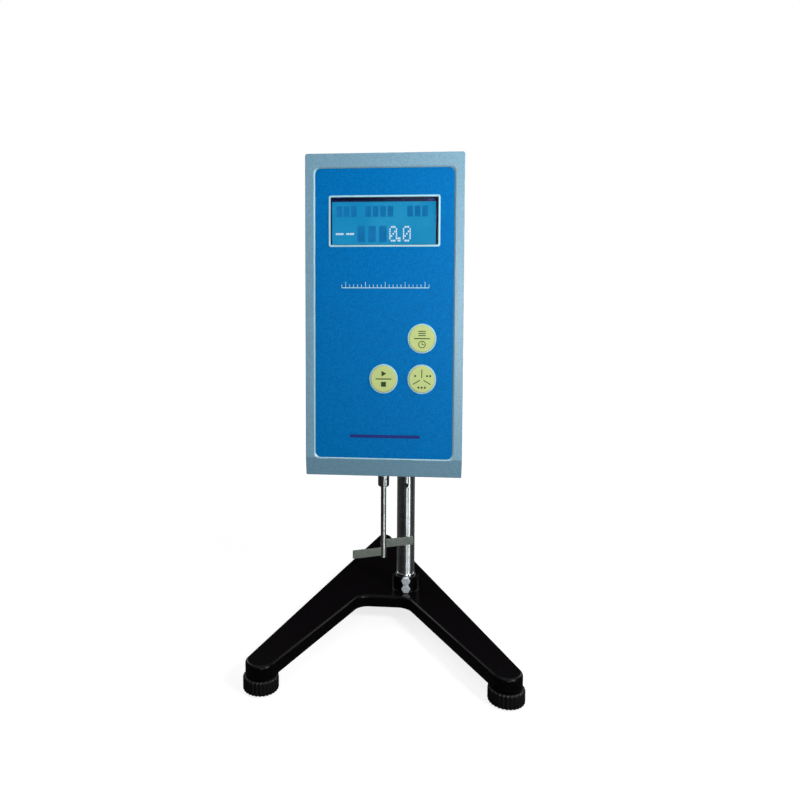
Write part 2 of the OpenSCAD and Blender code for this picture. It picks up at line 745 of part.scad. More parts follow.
plate_left = tie_boss_r + 1 - tie_x;
plate_right = drive_r + 14;
plate_half = 24;
pillar_r = 3.5;
pillar_in = pillar_r + 1;
pillar_places = [for (x = [plate_left + pillar_in, plate_right - pillar_in],
    y = [pillar_in - plate_half, plate_half - pillar_in]) [x, y]];

module upper_plate() placed() color("#a9b1b6") difference() {
    box([plate_left, -plate_half, upper_plate_z],
        [plate_right, plate_half, upper_plate_z + upper_plate_t]);
    translate([0, 0, upper_plate_z - 1]) cylinder(d = bearing_d, h = 20);
    translate([motor_x, 0, upper_plate_z - 1]) cylinder(r = motor_shaft_r + 3, h = 20);
}

module frame_pillars() placed() color("#c9ccce") for (p = pillar_places)
    translate([p[0], p[1], head_bottom + bottom_t])
        cylinder(r = pillar_r, h = upper_plate_z - head_bottom - bottom_t);

// Ball bearing whose lower face is at height z
module bearing(z) translate([0, 0, z]) difference() {
    cylinder(d = bearing_d, h = bearing_h);
    translate([0, 0, -1]) cylinder(r = shaft_r + run_gap, h = bearing_h + 2);
    for (h = [-1, bearing_h - 0.4]) translate([0, 0, h]) difference() {
        cylinder(r = bearing_d / 2 - 1.4, h = 1.4);
        translate([0, 0, -1]) cylinder(r = shaft_r + 1.4, h = 4);
    }
}

module shaft_bearings() placed() color("#d0d4d6") {
    bearing(bearing_low_z);
    bearing(upper_plate_z);
}

module motor() placed() color("#4a4e52") translate([motor_x, 0, upper_plate_z + upper_plate_t])
    difference() {
        rotate_extrude() polygon([[0, 0], [motor_d / 2, 0], [motor_d / 2, motor_l - 1.5],
            [motor_d / 2 - 1.5, motor_l], [6, motor_l], [6, motor_l + 2], [0, motor_l + 2]]);
        translate([0, 0, -1]) cylinder(r = motor_shaft_r + run_gap, h = 9);
    }

sensor_x = disc_d / 2 - 5;

module optical_sensor() placed() color("#232326") difference() {
    box([sensor_x, -7, head_bottom + bottom_t], [sensor_x + 16, 7, disc_z + 9]);
    box([sensor_x - 1, -8, disc_z - 2], [sensor_x + 8, 8, disc_z + disc_t + 2]);
}

supply_left = plug_x + 40;
supply_right = head_w / 2 - cover_wall - 8;
supply_low = pinion_z + bolt_z + bolt_head_r + 2;
supply_d = 22;

module power_supply() placed() color("#b9bec2")
    box([supply_left, rear_inner_y - supply_d, supply_low],
        [supply_right, rear_inner_y, tie_high - tie_boss_r - 2]);

module power_inlet() placed() color("#1d1d1f") {
    difference() {
        union() {
            plate(inlet_w + 4, inlet_h + 4.4, 2, 3, head_rear, inlet_z - inlet_h / 2 - 2.2, plug_x);
            plate(inlet_w, inlet_h, 22, 1, head_rear - 21.9, inlet_z - inlet_h / 2, plug_x);
        }
        translate([plug_x, head_rear + 3, inlet_z]) rotate([90, 0, 0]) linear_extrude(18) polygon([
            [-12, -8], [12, -8], [12, 4], [8, 8], [-8, 8], [-12, 4]]);
    }
    for (p = [[-7, -1.5], [0, 2.5], [7, -1.5]]) box([plug_x + p[0] - 1, head_rear - 15 - eps,
        inlet_z + p[1] - 2], [plug_x + p[0] + 1, head_rear - 1, inlet_z + p[1] + 2]);
}

module switch_frame() placed() color("#1d1d1f") difference() {
    union() {
        plate(rocker_w + 9, rocker_h + 10, 2, 2, head_rear, switch_z - rocker_h / 2 - 5, plug_x);
        plate(rocker_w + 5, rocker_h + 6, 12, 1, head_rear - 11.9, switch_z - rocker_h / 2 - 3,
            plug_x);
    }
    plate(rocker_w + 0.6, rocker_h + 2 * rocker_room, 13, 0.5, head_rear - 9.9,
        switch_z - rocker_h / 2 - rocker_room, plug_x);
    bar_x(plug_x - rocker_w / 2 - 1.6, rocker_y, switch_z, 1.2 + run_gap, rocker_w + 3.2);
}

module switch_rocker() placed() color("#2a2a2c") translate([plug_x, rocker_y, switch_z])
    rotate([-rocker_tilt, 0, 0]) {
        half = rocker_h / 2;
        translate([-rocker_w / 2, 0, 0]) rotate([90, 0, 90]) linear_extrude(rocker_w) polygon([
            [-3, -5], [0, -half], [4.5, -half], [3.2, 0], [4.5, half], [0, half], [-3, 5]]);
        bar_x(-rocker_w / 2 - 1.3, 0, 0, 1.2, rocker_w + 2.6);
    }

module serial_port() placed() color("#c2c6c8") difference() {
    union() {
        plate(31, 12.6, 1, 1, head_rear, serial_z - 6.3, plug_x);
        plate(20, 10, 11, 1, head_rear - 10, serial_z - 5, plug_x);
        plate(17, 8.6, 6.5, 1.5, head_rear + 0.9, serial_z - 4.3, plug_x);
    }
    plate(15.4, 7, 10, 1.2, head_rear - 1, serial_z - 3.5, plug_x);
    for (x = [-12.5, 12.5]) bar_y(plug_x + x, head_rear - 1, serial_z, 1.5, 3);
}

module carriage() placed() color("#5f676d") difference() {
    union() {
        plate(flange_w, carriage_h, flange_t, 3, head_rear, carriage_low, column_x);
        box([column_x - carriage_w / 2, flange_y - 1, carriage_low],
            [column_x + carriage_w / 2, carriage_back, carriage_high]);
    }
    translate([column_x, column_back, carriage_low - 1])
        cylinder(r = column_r + 0.6, h = carriage_h + 2);
    for (z = [carriage_low - 1, carriage_high - bush_l]) translate([column_x, column_back, z])
        cylinder(r = column_r + bush_t, h = bush_l + 1);
    bar_x(column_x - pinion_w / 2 - body_gap, pinion_y, pinion_z, pinion_room,
        pinion_w + 2 * body_gap);
    bar_x(column_x - carriage_w / 2 + 3, pinion_y, pinion_z, pinion_shaft_r + run_gap, carriage_w);
    bar_x(column_x - carriage_w / 2 - 1, column_back, pinion_z, lock_r + run_gap,
        carriage_w / 2);
    for (x = [-bolt_x, bolt_x], z = [-bolt_z, bolt_z])
        bar_y(column_x + x, head_rear - 1, pinion_z + z, bolt_r + run_gap, flange_t + 2);
}

module carriage_bushes() placed() color("#c49a4c")
    for (z = [carriage_low, carriage_high - bush_l]) translate([column_x, column_back, z])
        difference() {
            cylinder(r = column_r + bush_t, h = bush_l);
            translate([0, 0, -1]) cylinder(r = column_r + slide_gap, h = bush_l + 2);
        }

module carriage_bolts() placed() color("#8d9296")
    for (x = [-bolt_x, bolt_x], z = [-bolt_z, bolt_z]) {
        bar_y(column_x + x, rear_inner_y - eps, pinion_z + z, bolt_r, rear_t + flange_t - 0.2);
        difference() {
            bar_y(column_x + x, rear_inner_y - bolt_head_l, pinion_z + z, bolt_head_r, bolt_head_l);
            hex_y(column_x + x, rear_inner_y - bolt_head_l - 1, pinion_z + z, 4, 3.5);
        }
    }

module pinion_shaft() placed() color("#b4b6b4") translate([column_x, pinion_y, pinion_z])
    rotate([0, 90, 0]) {
        translate([0, 0, -pinion_w / 2]) linear_extrude(pinion_w)
            gear_outline(rack_module, pinion_teeth, pinion_root_r, pinion_tip_r, -90);
        translate([0, 0, 3.5 - carriage_w / 2])
            cylinder(r = pinion_shaft_r, h = carriage_w - 3.5 + lift_knob_l - 2);
    }

// Fluted knob along Z, standing on Z = 0, with a blind bore from below
module fluted_knob(d, l, flutes, bore_r, bore_l) difference() {
    rotate_extrude() polygon([[0, 0], [d / 2 - 1.5, 0], [d / 2, 1.5], [d / 2, l - 2],
        [d / 2 - 2, l], [0, l]]);
    translate([0, 0, -1]) cylinder(r = bore_r, h = bore_l + 1);
    for (k = [0:flutes - 1]) rotate(360 * k / flutes) translate([d / 2 + 1.2, 0, -1])
        cylinder(r = 2.2, h = l + 2, $fn = 24);
}

module lift_knob() placed() color("#18181a") translate([lift_knob_x, pinion_y, pinion_z])
    rotate([0, 90, 0]) fluted_knob(lift_knob_d, lift_knob_l, 14, pinion_shaft_r,
        column_x + carriage_w / 2 + lift_knob_l - 2 - lift_knob_x);

lock_tip_x = column_x - column_r - body_gap;
lock_knob_x = column_x - carriage_w / 2 - body_gap - 0.2;

module lock_screw() placed() color("#aeb2b4")
    bar_x(lock_knob_x - lock_knob_l + 4, column_back, pinion_z, lock_r,
        lock_tip_x - lock_knob_x + lock_knob_l - 4);

module lock_knob() placed() color("#18181a") translate([lock_knob_x, column_back, pinion_z])
    rotate([0, -90, 0]) fluted_knob(lock_knob_d, lock_knob_l, 10, lock_r, lock_knob_l - 4);

module spindle_shaft() placed() color("#c0c4c6") rotate_extrude() polygon([
    [0, shaft_foot], [shaft_r, shaft_foot],
    [shaft_r, bearing_low_z + bearing_h + body_gap],
    [shaft_r + 1, bearing_low_z + bearing_h + body_gap],
    [shaft_r + 1, bearing_low_z + bearing_h + 3], [shaft_r, bearing_low_z + bearing_h + 3],
    [shaft_r, shaft_top - 0.5], [shaft_r - 0.5, shaft_top], [0, shaft_top]]);

module drive_gear() placed() color("#c8a850") {
    difference() {
        union() {
            translate([0, 0, drive_low_z]) linear_extrude(drive_w) gear_outline(drive_module,
                drive_teeth, drive_r - 1.2 * drive_module, drive_r + drive_module, 180);
            translate([0, 0, drive_low_z - 4]) cylinder(r = 7, h = 5);
        }
        translate([0, 0, drive_low_z - 5]) cylinder(r = shaft_r, h = drive_w + 6);
        for (a = [30:60:330]) rotate(a) translate([drive_r * 0.6, 0, drive_low_z - 1])
            cylinder(r = drive_r * 0.17, h = drive_w + 2);
    }
    translate([post_x, 0, spring_low_z - 0.5])
        cylinder(r = post_r, h = drive_low_z - spring_low_z + 0.5 + eps);
}

// Radius of the spring's middle line at an angle in degrees
function spring_r(a) = hub_r + spring_t / 2 + (spring_out_r - hub_r - spring_t / 2)
    * a / (360 * spring_turns);

module spiral_spring() placed() color("#8c9499") translate([0, 0, spring_low_z])
    linear_extrude(spring_h) polygon(concat(
        [for (a = [0:10:360 * spring_turns]) (spring_r(a) - spring_t / 2) * [cos(a), sin(a)]],
        [for (a = [360 * spring_turns:-10:0]) (spring_r(a) + spring_t / 2) * [cos(a), sin(a)]]));

module slotted_disc() placed() color("#303438") difference() {
    union() {
        translate([0, 0, disc_z]) cylinder(d = disc_d, h = disc_t);
        translate([0, 0, hub_foot]) cylinder(r = hub_r, h = spring_low_z + spring_h - hub_foot);
    }
    translate([0, 0, hub_foot - 1]) cylinder(r = shaft_r, h = 40);
    for (k = [0:disc_slots - 1]) rotate(360 * k / disc_slots)
        box([disc_d / 2 - 5, -0.8, disc_z - 1], [disc_d / 2 - 1.5, 0.8, disc_z + disc_t + 1]);
}

module chuck() placed() color("#b9bfc2") difference() {
    rotate_extrude() polygon([[0, chuck_bottom], [chuck_d / 2 - 1.4, chuck_bottom],
        [chuck_d / 2 - 0.5, chuck_bottom + 0.35], [chuck_d / 2, chuck_bottom + 1.2],
        [chuck_d / 2, chuck_bottom + chuck_l - 0.6], [chuck_d / 2 - 0.6, chuck_bottom + chuck_l],
        [0, chuck_bottom + chuck_l]]);
    translate([0, 0, chuck_bottom - 1]) cylinder(r = rod_d / 2, h = 12);
    translate([0, 0, shaft_foot]) cylinder(r = shaft_r, h = chuck_l);
}

module paddle_rod() placed() color("#c3c8ca") rotate_extrude() polygon([
    [0, rod_tip], [rod_d / 2 - 0.5, rod_tip], [rod_d / 2, rod_tip + 0.5],
    [rod_d / 2, shaft_foot], [0, shaft_foot]]);

module paddle() placed() color("#8d9688") rotate(blade_turn) difference() {
    union() {
        box([-blade_reach, -blade_t / 2, rod_tip + blade_low],
            [0, blade_t / 2, rod_tip + blade_low + blade_h]);
        box([0, -blade_t / 2, rod_tip + blade_high],
            [blade_reach, blade_t / 2, rod_tip + blade_high + blade_h]);
    }
    translate([0, 0, rod_tip - 1]) cylinder(r = rod_d / 2, h = 40);
}

module motor_pinion() placed() color("#c8a850") translate([motor_x, 0, 0]) {
    translate([0, 0, drive_low_z]) linear_extrude(drive_w) gear_outline(drive_module,
        motor_teeth, motor_pinion_r - 1.2 * drive_module, motor_pinion_r + drive_module,
        180 / motor_teeth);
    translate([0, 0, drive_low_z - 1])
        cylinder(r = motor_shaft_r, h = upper_plate_z + upper_plate_t + 6 - drive_low_z);
}

base_casting();
column();
column_ring();
set_bolts();
column_cap();
foot_bushes();
foot_pad_left();
foot_pad_right();
foot_pad_rear();
foot_knob_left();
foot_knob_right();
foot_knob_rear();
foot_stud_left();
foot_stud_right();
foot_stud_rear();
front_frame();
front_panel();
window_lens();
window_rim();
key_rings();
lcd_module();
keypad_board();
tact_switches();
main_board();
board_standoffs();
cover();
rear_plate();
bottom_plate();
case_screws();
upper_plate();
frame_pillars();
shaft_bearings();
motor();
optical_sensor();
power_supply();
power_inlet();
switch_frame();
serial_port();
level_vial();
carriage();
carriage_bushes();
carriage_bolts();
spindle_shaft();
drive_gear();
spiral_spring();
slotted_disc();
chuck();
paddle_rod();
paddle();
motor_pinion();
key_print();
key_run();
key_units();
switch_rocker();
pinion_shaft();
lift_knob();
lock_screw();
lock_knob();
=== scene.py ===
# %% [markdown]
# # A bench viscometer, dressed piece by piece
#
# The instrument hangs a small paddle in a can of paint and reads how hard the paint holds it back.
# A blue and grey display head slides on a polished column, and the column stands on a black cast
# base with two long arms. The solids, their sizes and their joints come from the CAD model. This
# script gives every piece the surface that it has on the bench, and remodels the pieces whose
# edges and curves carry the light.

# %% Load the frame
import json
import math

import bmesh
import bpy
from mathutils import Matrix, Vector


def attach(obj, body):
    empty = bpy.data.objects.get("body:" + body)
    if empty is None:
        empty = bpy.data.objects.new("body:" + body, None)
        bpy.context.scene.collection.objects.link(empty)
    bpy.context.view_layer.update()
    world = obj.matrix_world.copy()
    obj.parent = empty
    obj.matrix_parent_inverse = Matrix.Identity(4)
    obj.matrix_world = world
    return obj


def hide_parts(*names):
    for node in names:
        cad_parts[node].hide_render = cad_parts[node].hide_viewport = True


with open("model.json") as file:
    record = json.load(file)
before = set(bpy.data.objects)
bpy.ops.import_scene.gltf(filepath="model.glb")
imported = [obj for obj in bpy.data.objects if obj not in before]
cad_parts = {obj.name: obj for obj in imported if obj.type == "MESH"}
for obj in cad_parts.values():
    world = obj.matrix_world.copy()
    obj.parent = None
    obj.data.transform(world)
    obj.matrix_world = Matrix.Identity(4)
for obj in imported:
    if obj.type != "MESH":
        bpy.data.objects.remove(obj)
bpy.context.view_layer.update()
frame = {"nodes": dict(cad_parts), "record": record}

# %% [markdown]
# Lengths are written in millimetres, measured from the spindle's axis, because that is how the
# instrument is drawn. The frame's own origin lies in the middle of the base, 42.75 mm away, and
# Blender works in metres. One matrix holds both changes, so no piece has to think of them. The
# front is the side with the keys, at negative y, and z rises from the bench.

# %% Drawing place and colours
SPINDLE_Y = -42.75
TO_FRAME = Matrix.Translation((0, SPINDLE_Y / 1000, 0)) @ Matrix.Scale(0.001, 4)


def tone(code):
    """Turns an sRGB hex colour into the linear colour that a shader wants."""
    parts = [int(code[i : i + 2], 16) / 255 for i in (1, 3, 5)]
    linear = [c / 12.92 if c <= 0.04045 else ((c + 0.055) / 1.055) ** 2.4 for c in parts]
    return (*linear, 1.0)


print("powder coat in linear light:", [round(c, 3) for c in tone("#78a2ba")])

# %% [markdown]
# A finish is a Principled shader with a few nodes in front of it. The nodes are all made by one
# small function: it takes the node's kind, the numbers for its sockets and the sockets that feed
# it. Patterns read Object coordinates, so a grain that is 0.3 mm wide on the real part is 0.3 mm
# wide here, whatever the piece's size. A noise texture stays mostly between 0.3 and 0.7, so those
# two values are where a pattern's low and high tones sit.

# %% Nodes and finishes
NOISE_LOW, NOISE_HIGH = 0.3, 0.7


def add(finish, kind, values=None, links=None, **props):
    """Adds one node to a finish, with its socket values, its incoming links and its properties."""
    node = finish.node_tree.nodes.new("ShaderNode" + kind)
    for key, value in props.items():
        setattr(node, key, value)
    for key, value in (values or {}).items():
        node.inputs[key].default_value = value
    for key, source in (links or {}).items():
        finish.node_tree.links.new(source, node.inputs[key])
    return node


def new_finish(name, colour, roughness, **sockets):
    """Makes a material with a bare Principled shader and returns it with that shader."""
    finish = bpy.data.materials.new(name)
    finish.use_nodes = True
    shader = finish.node_tree.nodes["Principled BSDF"]
    shader.inputs["Base Color"].default_value = tone(colour)
    shader.inputs["Roughness"].default_value = roughness
    for key, value in sockets.items():
        shader.inputs[key.replace("_", " ")].default_value = value
    return finish, shader


def object_place(finish, scale=(1, 1, 1), turn=(0, 0, 0)):
    """Object coordinates in millimetres, stretched or turned as the pattern needs."""
    coords = add(finish, "TexCoord")
    size = [1000 * s for s in scale]
    mapping = add(finish, "Mapping", {"Scale": size, "Rotation": turn},
                  {"Vector": coords.outputs["Object"]})
    return mapping.outputs["Vector"]


def mottle(finish, shader, place, width, tones, detail=3.0, socket="Base Color"):
    """Colour that drifts between two tones in soft spots about width mm across."""
    noise = add(finish, "TexNoise", {"Scale": 1 / width, "Detail": detail}, {"Vector": place})
    ramp = add(finish, "ValToRGB", links={"Fac": noise.outputs["Fac"]})
    ramp.color_ramp.elements[0].position = NOISE_LOW
    ramp.color_ramp.elements[1].position = NOISE_HIGH
    ramp.color_ramp.elements[0].color = tone(tones[0])
    ramp.color_ramp.elements[1].color = tone(tones[1])
    finish.node_tree.links.new(ramp.outputs["Color"], shader.inputs[socket])


def relief(finish, shader, place, width, depth, detail=2.0):
    """Small hills and hollows, width mm across and depth mm high."""
    noise = add(finish, "TexNoise", {"Scale": 1 / width, "Detail": detail}, {"Vector": place})
    bump = add(finish, "Bump", {"Strength": 1.0, "Distance": depth / 1000},
               {"Height": noise.outputs["Fac"]})
    finish.node_tree.links.new(bump.outputs["Normal"], shader.inputs["Normal"])


def wear(finish, shader, place, width, low, high):
    """Roughness that wanders between low and high, as handling and cleaning leave it."""
    noise = add(finish, "TexNoise", {"Scale": 1 / width, "Detail": 4.0}, {"Vector": place})
    span = add(finish, "MapRange",
               {"From Min": NOISE_LOW, "From Max": NOISE_HIGH, "To Min": low, "To Max": high},
               {"Value": noise.outputs["Fac"]})
    finish.node_tree.links.new(span.outputs["Result"], shader.inputs["Roughness"])


def patterned(name, colour, roughness, width, tones, hills=None, rub=None, scale=(1, 1, 1),
              turn=(0, 0, 0), **sockets):
    """A mottled finish. hills holds the numbers for relief, and rub those for wear."""
    finish, shader = new_finish(name, colour, roughness, **sockets)
    place = object_place(finish, scale, turn)
    mottle(finish, shader, place, width, tones)
    if hills:
        relief(finish, shader, place, *hills)
    if rub:
        wear(finish, shader, place, *rub)
    return finish


print("finish helpers ready")

# %% [markdown]
# ## Metals
#
# The column, the shaft and the chuck are ground stainless steel. Grinding turns the bar against a
# wheel, so the fine lines run round it: the noise is squeezed along the bar and stretched round it.
# Real lines are about 0.05 mm wide, too fine for the picture, so they are drawn 0.4 mm wide. Such
# lines pull every highlight out across themselves. So the shader's tangent runs round the bar, and
# the quarter turn of its rotation sends the highlight up and down the bar.
#
# The screws and bolts are zinc plated, which looks milky. The rings of the foot and the vial are
# chromed, so they are nearly a mirror. The bushes and gears are brass from the lathe, the torque
# spring is blued by heat, and the motor's can is black zinc.

# %% Ground and bright metals
ground_stainless, shader = new_finish("ground stainless steel", "#b8bcbb", 0.2, Metallic=1.0,
                                      Anisotropic=0.9, Anisotropic_Rotation=0.25)
tangent = add(ground_stainless, "Tangent", direction_type="RADIAL", axis="Z")
ground_stainless.node_tree.links.new(tangent.outputs["Tangent"], shader.inputs["Tangent"])
place = object_place(ground_stainless, scale=(0.02, 0.02, 2.5))
mottle(ground_stainless, shader, place, 1.0, ("#a6aaa9", "#c6cac9"))
place = object_place(ground_stainless, scale=(0.3, 0.3, 2.5))
wear(ground_stainless, shader, place, 1.0, 0.26, 0.36)

bright_zinc = patterned("bright zinc plated steel", "#dfe7ec", 0.28, 1.5, ("#cfd9e0", "#eef3f6"),
                        rub=(0.8, 0.36, 0.5), Metallic=1.0)

bright_chrome, shader = new_finish("bright nickel chrome", "#e8ecee", 0.08, Metallic=1.0)
wear(bright_chrome, shader, object_place(bright_chrome), 2.0, 0.05, 0.14)

turned_brass = patterned("turned brass", "#cfa950", 0.28, 1.2, ("#bf9844", "#dab766"),
                         rub=(0.6, 0.2, 0.38), scale=(1, 1, 4), Metallic=1.0)
blued_steel = patterned("blued spring steel", "#4a5666", 0.3, 4.0, ("#3f4a5c", "#5d6670"),
                        rub=(1.0, 0.24, 0.4), Metallic=1.0)
milled_aluminium = patterned("milled aluminium plate", "#c3c7ca", 0.36, 1.0,
                             ("#b4b9bd", "#ced2d4"), hills=(1.0, 0.01), scale=(0.15, 2, 1),
                             Metallic=1.0)
black_zinc = patterned("black zinc plated steel", "#2c2f31", 0.38, 3.0, ("#26292b", "#363a3c"),
                       rub=(2.0, 0.3, 0.48), Metallic=0.9)
print(len(bpy.data.materials), "finishes so far")

# %% [markdown]
# The paddle is cut from stainless strip and used in paint every day, so it is duller and a little
# greenish. The strip's rolling lines run along the blade. The blade stands turned by 21.6 degrees,
# and the Mapping node turns the pattern with it.

# %% Paddle strip
PADDLE_TURN = math.radians(21.6)
rolled_strip = patterned("rolled stainless strip", "#9a9e94", 0.42, 1.0, ("#696d65", "#888c84"),
                         rub=(1.6, 0.34, 0.52), scale=(0.12, 2.5, 2.5),
                         turn=(0, 0, -PADDLE_TURN), Metallic=1.0)
print("paddle finish:", rolled_strip.name)

# %% [markdown]
# ## Paints
#
# The head is painted steel. Powder coat flows out into a skin with soft pits, called orange peel,
# about 0.9 mm across, and its pigment is very slightly uneven. The slope round the panel's recess
# gets a paler coat, a painted highlight for the light that this sloping edge catches. The cast base
# has a thicker black enamel over sand-cast iron, so its skin rolls in wider waves, about 3.5 mm
# across. The lift's carriage has crinkle paint, which shrinks into fine wrinkles as it dries.

# %% Powder coat and enamel
powder_coat = patterned("blue grey powder coat", "#78a2ba", 0.34, 0.8, ("#6690a7", "#80aabf"),
                        hills=(0.9, 0.02))
# Paler powder coat for the recess slope: a painted highlight for the light that the slope catches.
slope_highlight_coat = patterned("powder coat with a painted highlight on the recess slope", "#97bac8", 0.34, 0.7,
                      ("#86b0bd", "#9cc3ce"))
black_enamel = patterned("black enamel on cast iron", "#050405", 0.24, 1.2,
                         ("#040304", "#080608"), hills=(3.5, 0.03), Specular_IOR_Level=0.09)
crinkle_paint = patterned("dark crinkle paint", "#596168", 0.55, 0.8, ("#4d555b", "#667076"),
                          hills=(1.1, 0.12, 4.0))
print("paint finishes:", powder_coat.name, "/", black_enamel.name)

# %% [markdown]
# ## Plastics and rubber
#
# The panel is a polyester film with a fine velvet skin, printed from behind, so it hardly
# mirrors anything. The inks are nearly flat as well. The keys are moulded in a soft yellow green
# plastic, the knobs in black phenolic, and the pads are rubber.

# %% Plastics
blue_film = patterned("printed blue polyester film", "#006bae", 0.42, 1.1,
                      ("#0062a5", "#0076be"), hills=(0.3, 0.004), Specular_IOR_Level=0.03)
pale_ink = patterned("pale screen ink", "#c5e0ec", 0.4, 0.4, ("#93cbd9", "#aadbe5"))
key_plastic = patterned("moulded yellow green key plastic", "#bccc84", 0.45, 0.6,
                        ("#b9c97f", "#c5d48c"), hills=(0.25, 0.006), Specular_IOR_Level=0.15)
key_ink = patterned("dark green key ink", "#2c4421", 0.5, 0.3, ("#263c1c", "#34502a"),
                    Specular_IOR_Level=0.1)
navy_ink = patterned("navy screen ink", "#22357c", 0.5, 0.3, ("#1e3074", "#273c86"),
                     Specular_IOR_Level=0.05)
black_phenolic = patterned("black moulded phenolic", "#0b0a0c", 0.4, 0.8,
                           ("#09080a", "#100f11"), hills=(0.5, 0.01), Specular_IOR_Level=0.2)
black_rubber = patterned("black nitrile rubber", "#17171a", 0.8, 1.5, ("#141416", "#222226"),
                         hills=(0.6, 0.03))
print(len(bpy.data.materials), "finishes so far")

# %% [markdown]
# ## Boards, glass and the lit display
#
# A circuit board is glass cloth under green solder mask, with copper tracks that show through as
# paler lines. A Brick pattern with long thin bricks gives lines that turn at right angles, as
# tracks do.

# %% Circuit board
solder_mask, shader = new_finish("green solder mask", "#14572f", 0.3)
place = object_place(solder_mask, turn=(math.radians(90), 0, 0))
tracks = add(solder_mask, "TexBrick",
             {"Scale": 0.25, "Mortar Size": 0.035, "Color1": tone("#12512b"),
              "Color2": tone("#175f34"), "Mortar": tone("#3f8f55")}, {"Vector": place})
solder_mask.node_tree.links.new(tracks.outputs["Color"], shader.inputs["Base Color"])
relief(solder_mask, shader, place, 0.5, 0.01)
print("board finish:", solder_mask.name)

# %% [markdown]
# The window is clear acrylic. The display behind it is lit from the back, so its field glows. The
# lamps of such a module sit along an edge and the glow is a little uneven: it drifts between two
# blues over some 26 mm. The level's vial holds a tinted liquid that light passes through.

# %% Window, display and level liquid
clear_acrylic, shader = new_finish("clear acrylic", "#f4fbff", 0.03, IOR=1.49,
                                   Transmission_Weight=1.0)
wear(clear_acrylic, shader, object_place(clear_acrylic), 6.0, 0.015, 0.05)


def lit_finish(name, tones, width):
    """A dark surface that glows in a colour that drifts between two tones."""
    finish, shader = new_finish(name, "#0a1622", 0.5, Specular_IOR_Level=0.0,
                                Emission_Strength=0.98)
    place = object_place(finish)
    mottle(finish, shader, place, width, tones, detail=1.0, socket="Emission Color")
    return finish


display_glow = lit_finish("backlit display field", ("#178abe", "#2698c8"), 26.0)
display_cell = lit_finish("unlit display cells", ("#1570ab", "#1b7ab6"), 9.0)
display_dot = lit_finish("bright display dots", ("#dff3fb", "#f2fbff"), 5.0)
display_dark = patterned("display border", "#15184a", 0.3, 3.0, ("#10123c", "#1b1f5a"))
vial_liquid = patterned("yellow green vial liquid", "#d4ea5e", 0.02, 3.0, ("#cbe352", "#ddf06e"),
                        IOR=1.36, Transmission_Weight=0.7)
print("display finishes:", display_glow.name, "/", display_cell.name, "/", display_dot.name)

# %% [markdown]
# ## Making pieces
#
# Each new piece is a bmesh drawn in millimetres. A Weighted Normal modifier lets the large faces
# decide the shading, so a flat side stays flat beside its rounded edge.

# %% Finishing a piece
def finished(name, drawn, body, finish, stands_for=(), place=TO_FRAME, crease=32):
    """Turns a drawn bmesh into a piece of the instrument that rides on a body."""
    drawn.transform(place)
    mesh = bpy.data.meshes.new(name)
    drawn.to_mesh(mesh)
    drawn.free()
    for one in finish if isinstance(finish, list) else [finish]:
        mesh.materials.append(one)
    mesh.shade_smooth()
    mesh.set_sharp_from_angle(angle=math.radians(crease))
    piece = bpy.data.objects.new(name, mesh)
    bpy.context.scene.collection.objects.link(piece)
    flat = piece.modifiers.new("flat faces stay flat", "WEIGHTED_NORMAL")
    flat.keep_sharp = True
    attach(piece, body)
    if stands_for:
        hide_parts(*stands_for)
    print(f"{name}: {len(mesh.polygons)} faces on {body}")
    return piece


LAY = {"Z": Matrix(), "X": Matrix.Rotation(math.radians(90), 4, "Y"),
       "Y": Matrix.Rotation(math.radians(-90), 4, "X")}


def turned(profile, at=(0, 0, 0), axis="Z", steps=96, closed=False):
    """Spins a profile of (radius, height) points round the Z axis, then lays it along an axis."""
    drawn = bmesh.new()
    points = [drawn.verts.new((radius, 0, height)) for radius, height in profile]
    ends = points[1:] + points[:1] if closed else points[1:]
    for a, b in zip(points, ends):
        drawn.edges.new((a, b))
    bmesh.ops.spin(drawn, geom=drawn.verts[:] + drawn.edges[:], cent=(0, 0, 0), axis=(0, 0, 1),
                   angle=math.tau, steps=steps, use_merge=True)
    bmesh.ops.remove_doubles(drawn, verts=drawn.verts[:], dist=1e-4)
    bmesh.ops.recalc_face_normals(drawn, faces=drawn.faces[:])
    drawn.transform(Matrix.Translation(at) @ LAY[axis])
    return drawn


def rounded(drawn, edges, radius, segments):
    """Rounds some edges of a drawn shape."""
    bmesh.ops.bevel(drawn, geom=edges, offset=radius, segments=segments, profile=0.5,
                    affect="EDGES", material=-1)


def edges_at(drawn, y):
    """The edges of a drawn shape that lie flat at one depth, such as those of its front."""
    return [e for e in drawn.edges if all(abs(v.co.y - y) < 1e-4 for v in e.verts)]


def block(low, high, edge=0):
    """A box between two corners and, if edge is given, with its edges rounded by edge mm."""
    drawn = bmesh.new()
    bmesh.ops.create_cube(drawn, size=1.0)
    size = Vector(high) - Vector(low)
    middle = (Vector(high) + Vector(low)) / 2
    drawn.transform(Matrix.Translation(middle) @ Matrix.Diagonal((*size, 1)))
    if edge:
        rounded(drawn, drawn.edges[:], edge, 2)
    return drawn


def joined(*parts):
    """Puts several drawn bmeshes into one."""
    whole = parts[0]
    for part in parts[1:]:
        loose = bpy.data.meshes.new("loose")
        part.to_mesh(loose)
        part.free()
        whole.from_mesh(loose)
        bpy.data.meshes.remove(loose)
    return whole


print("piece helpers ready")

# %% [markdown]
# A recess or a bore is cut with a Boolean modifier: the tool is a second bmesh, and the result is
# read back into a bmesh so that the piece can be worked on further.

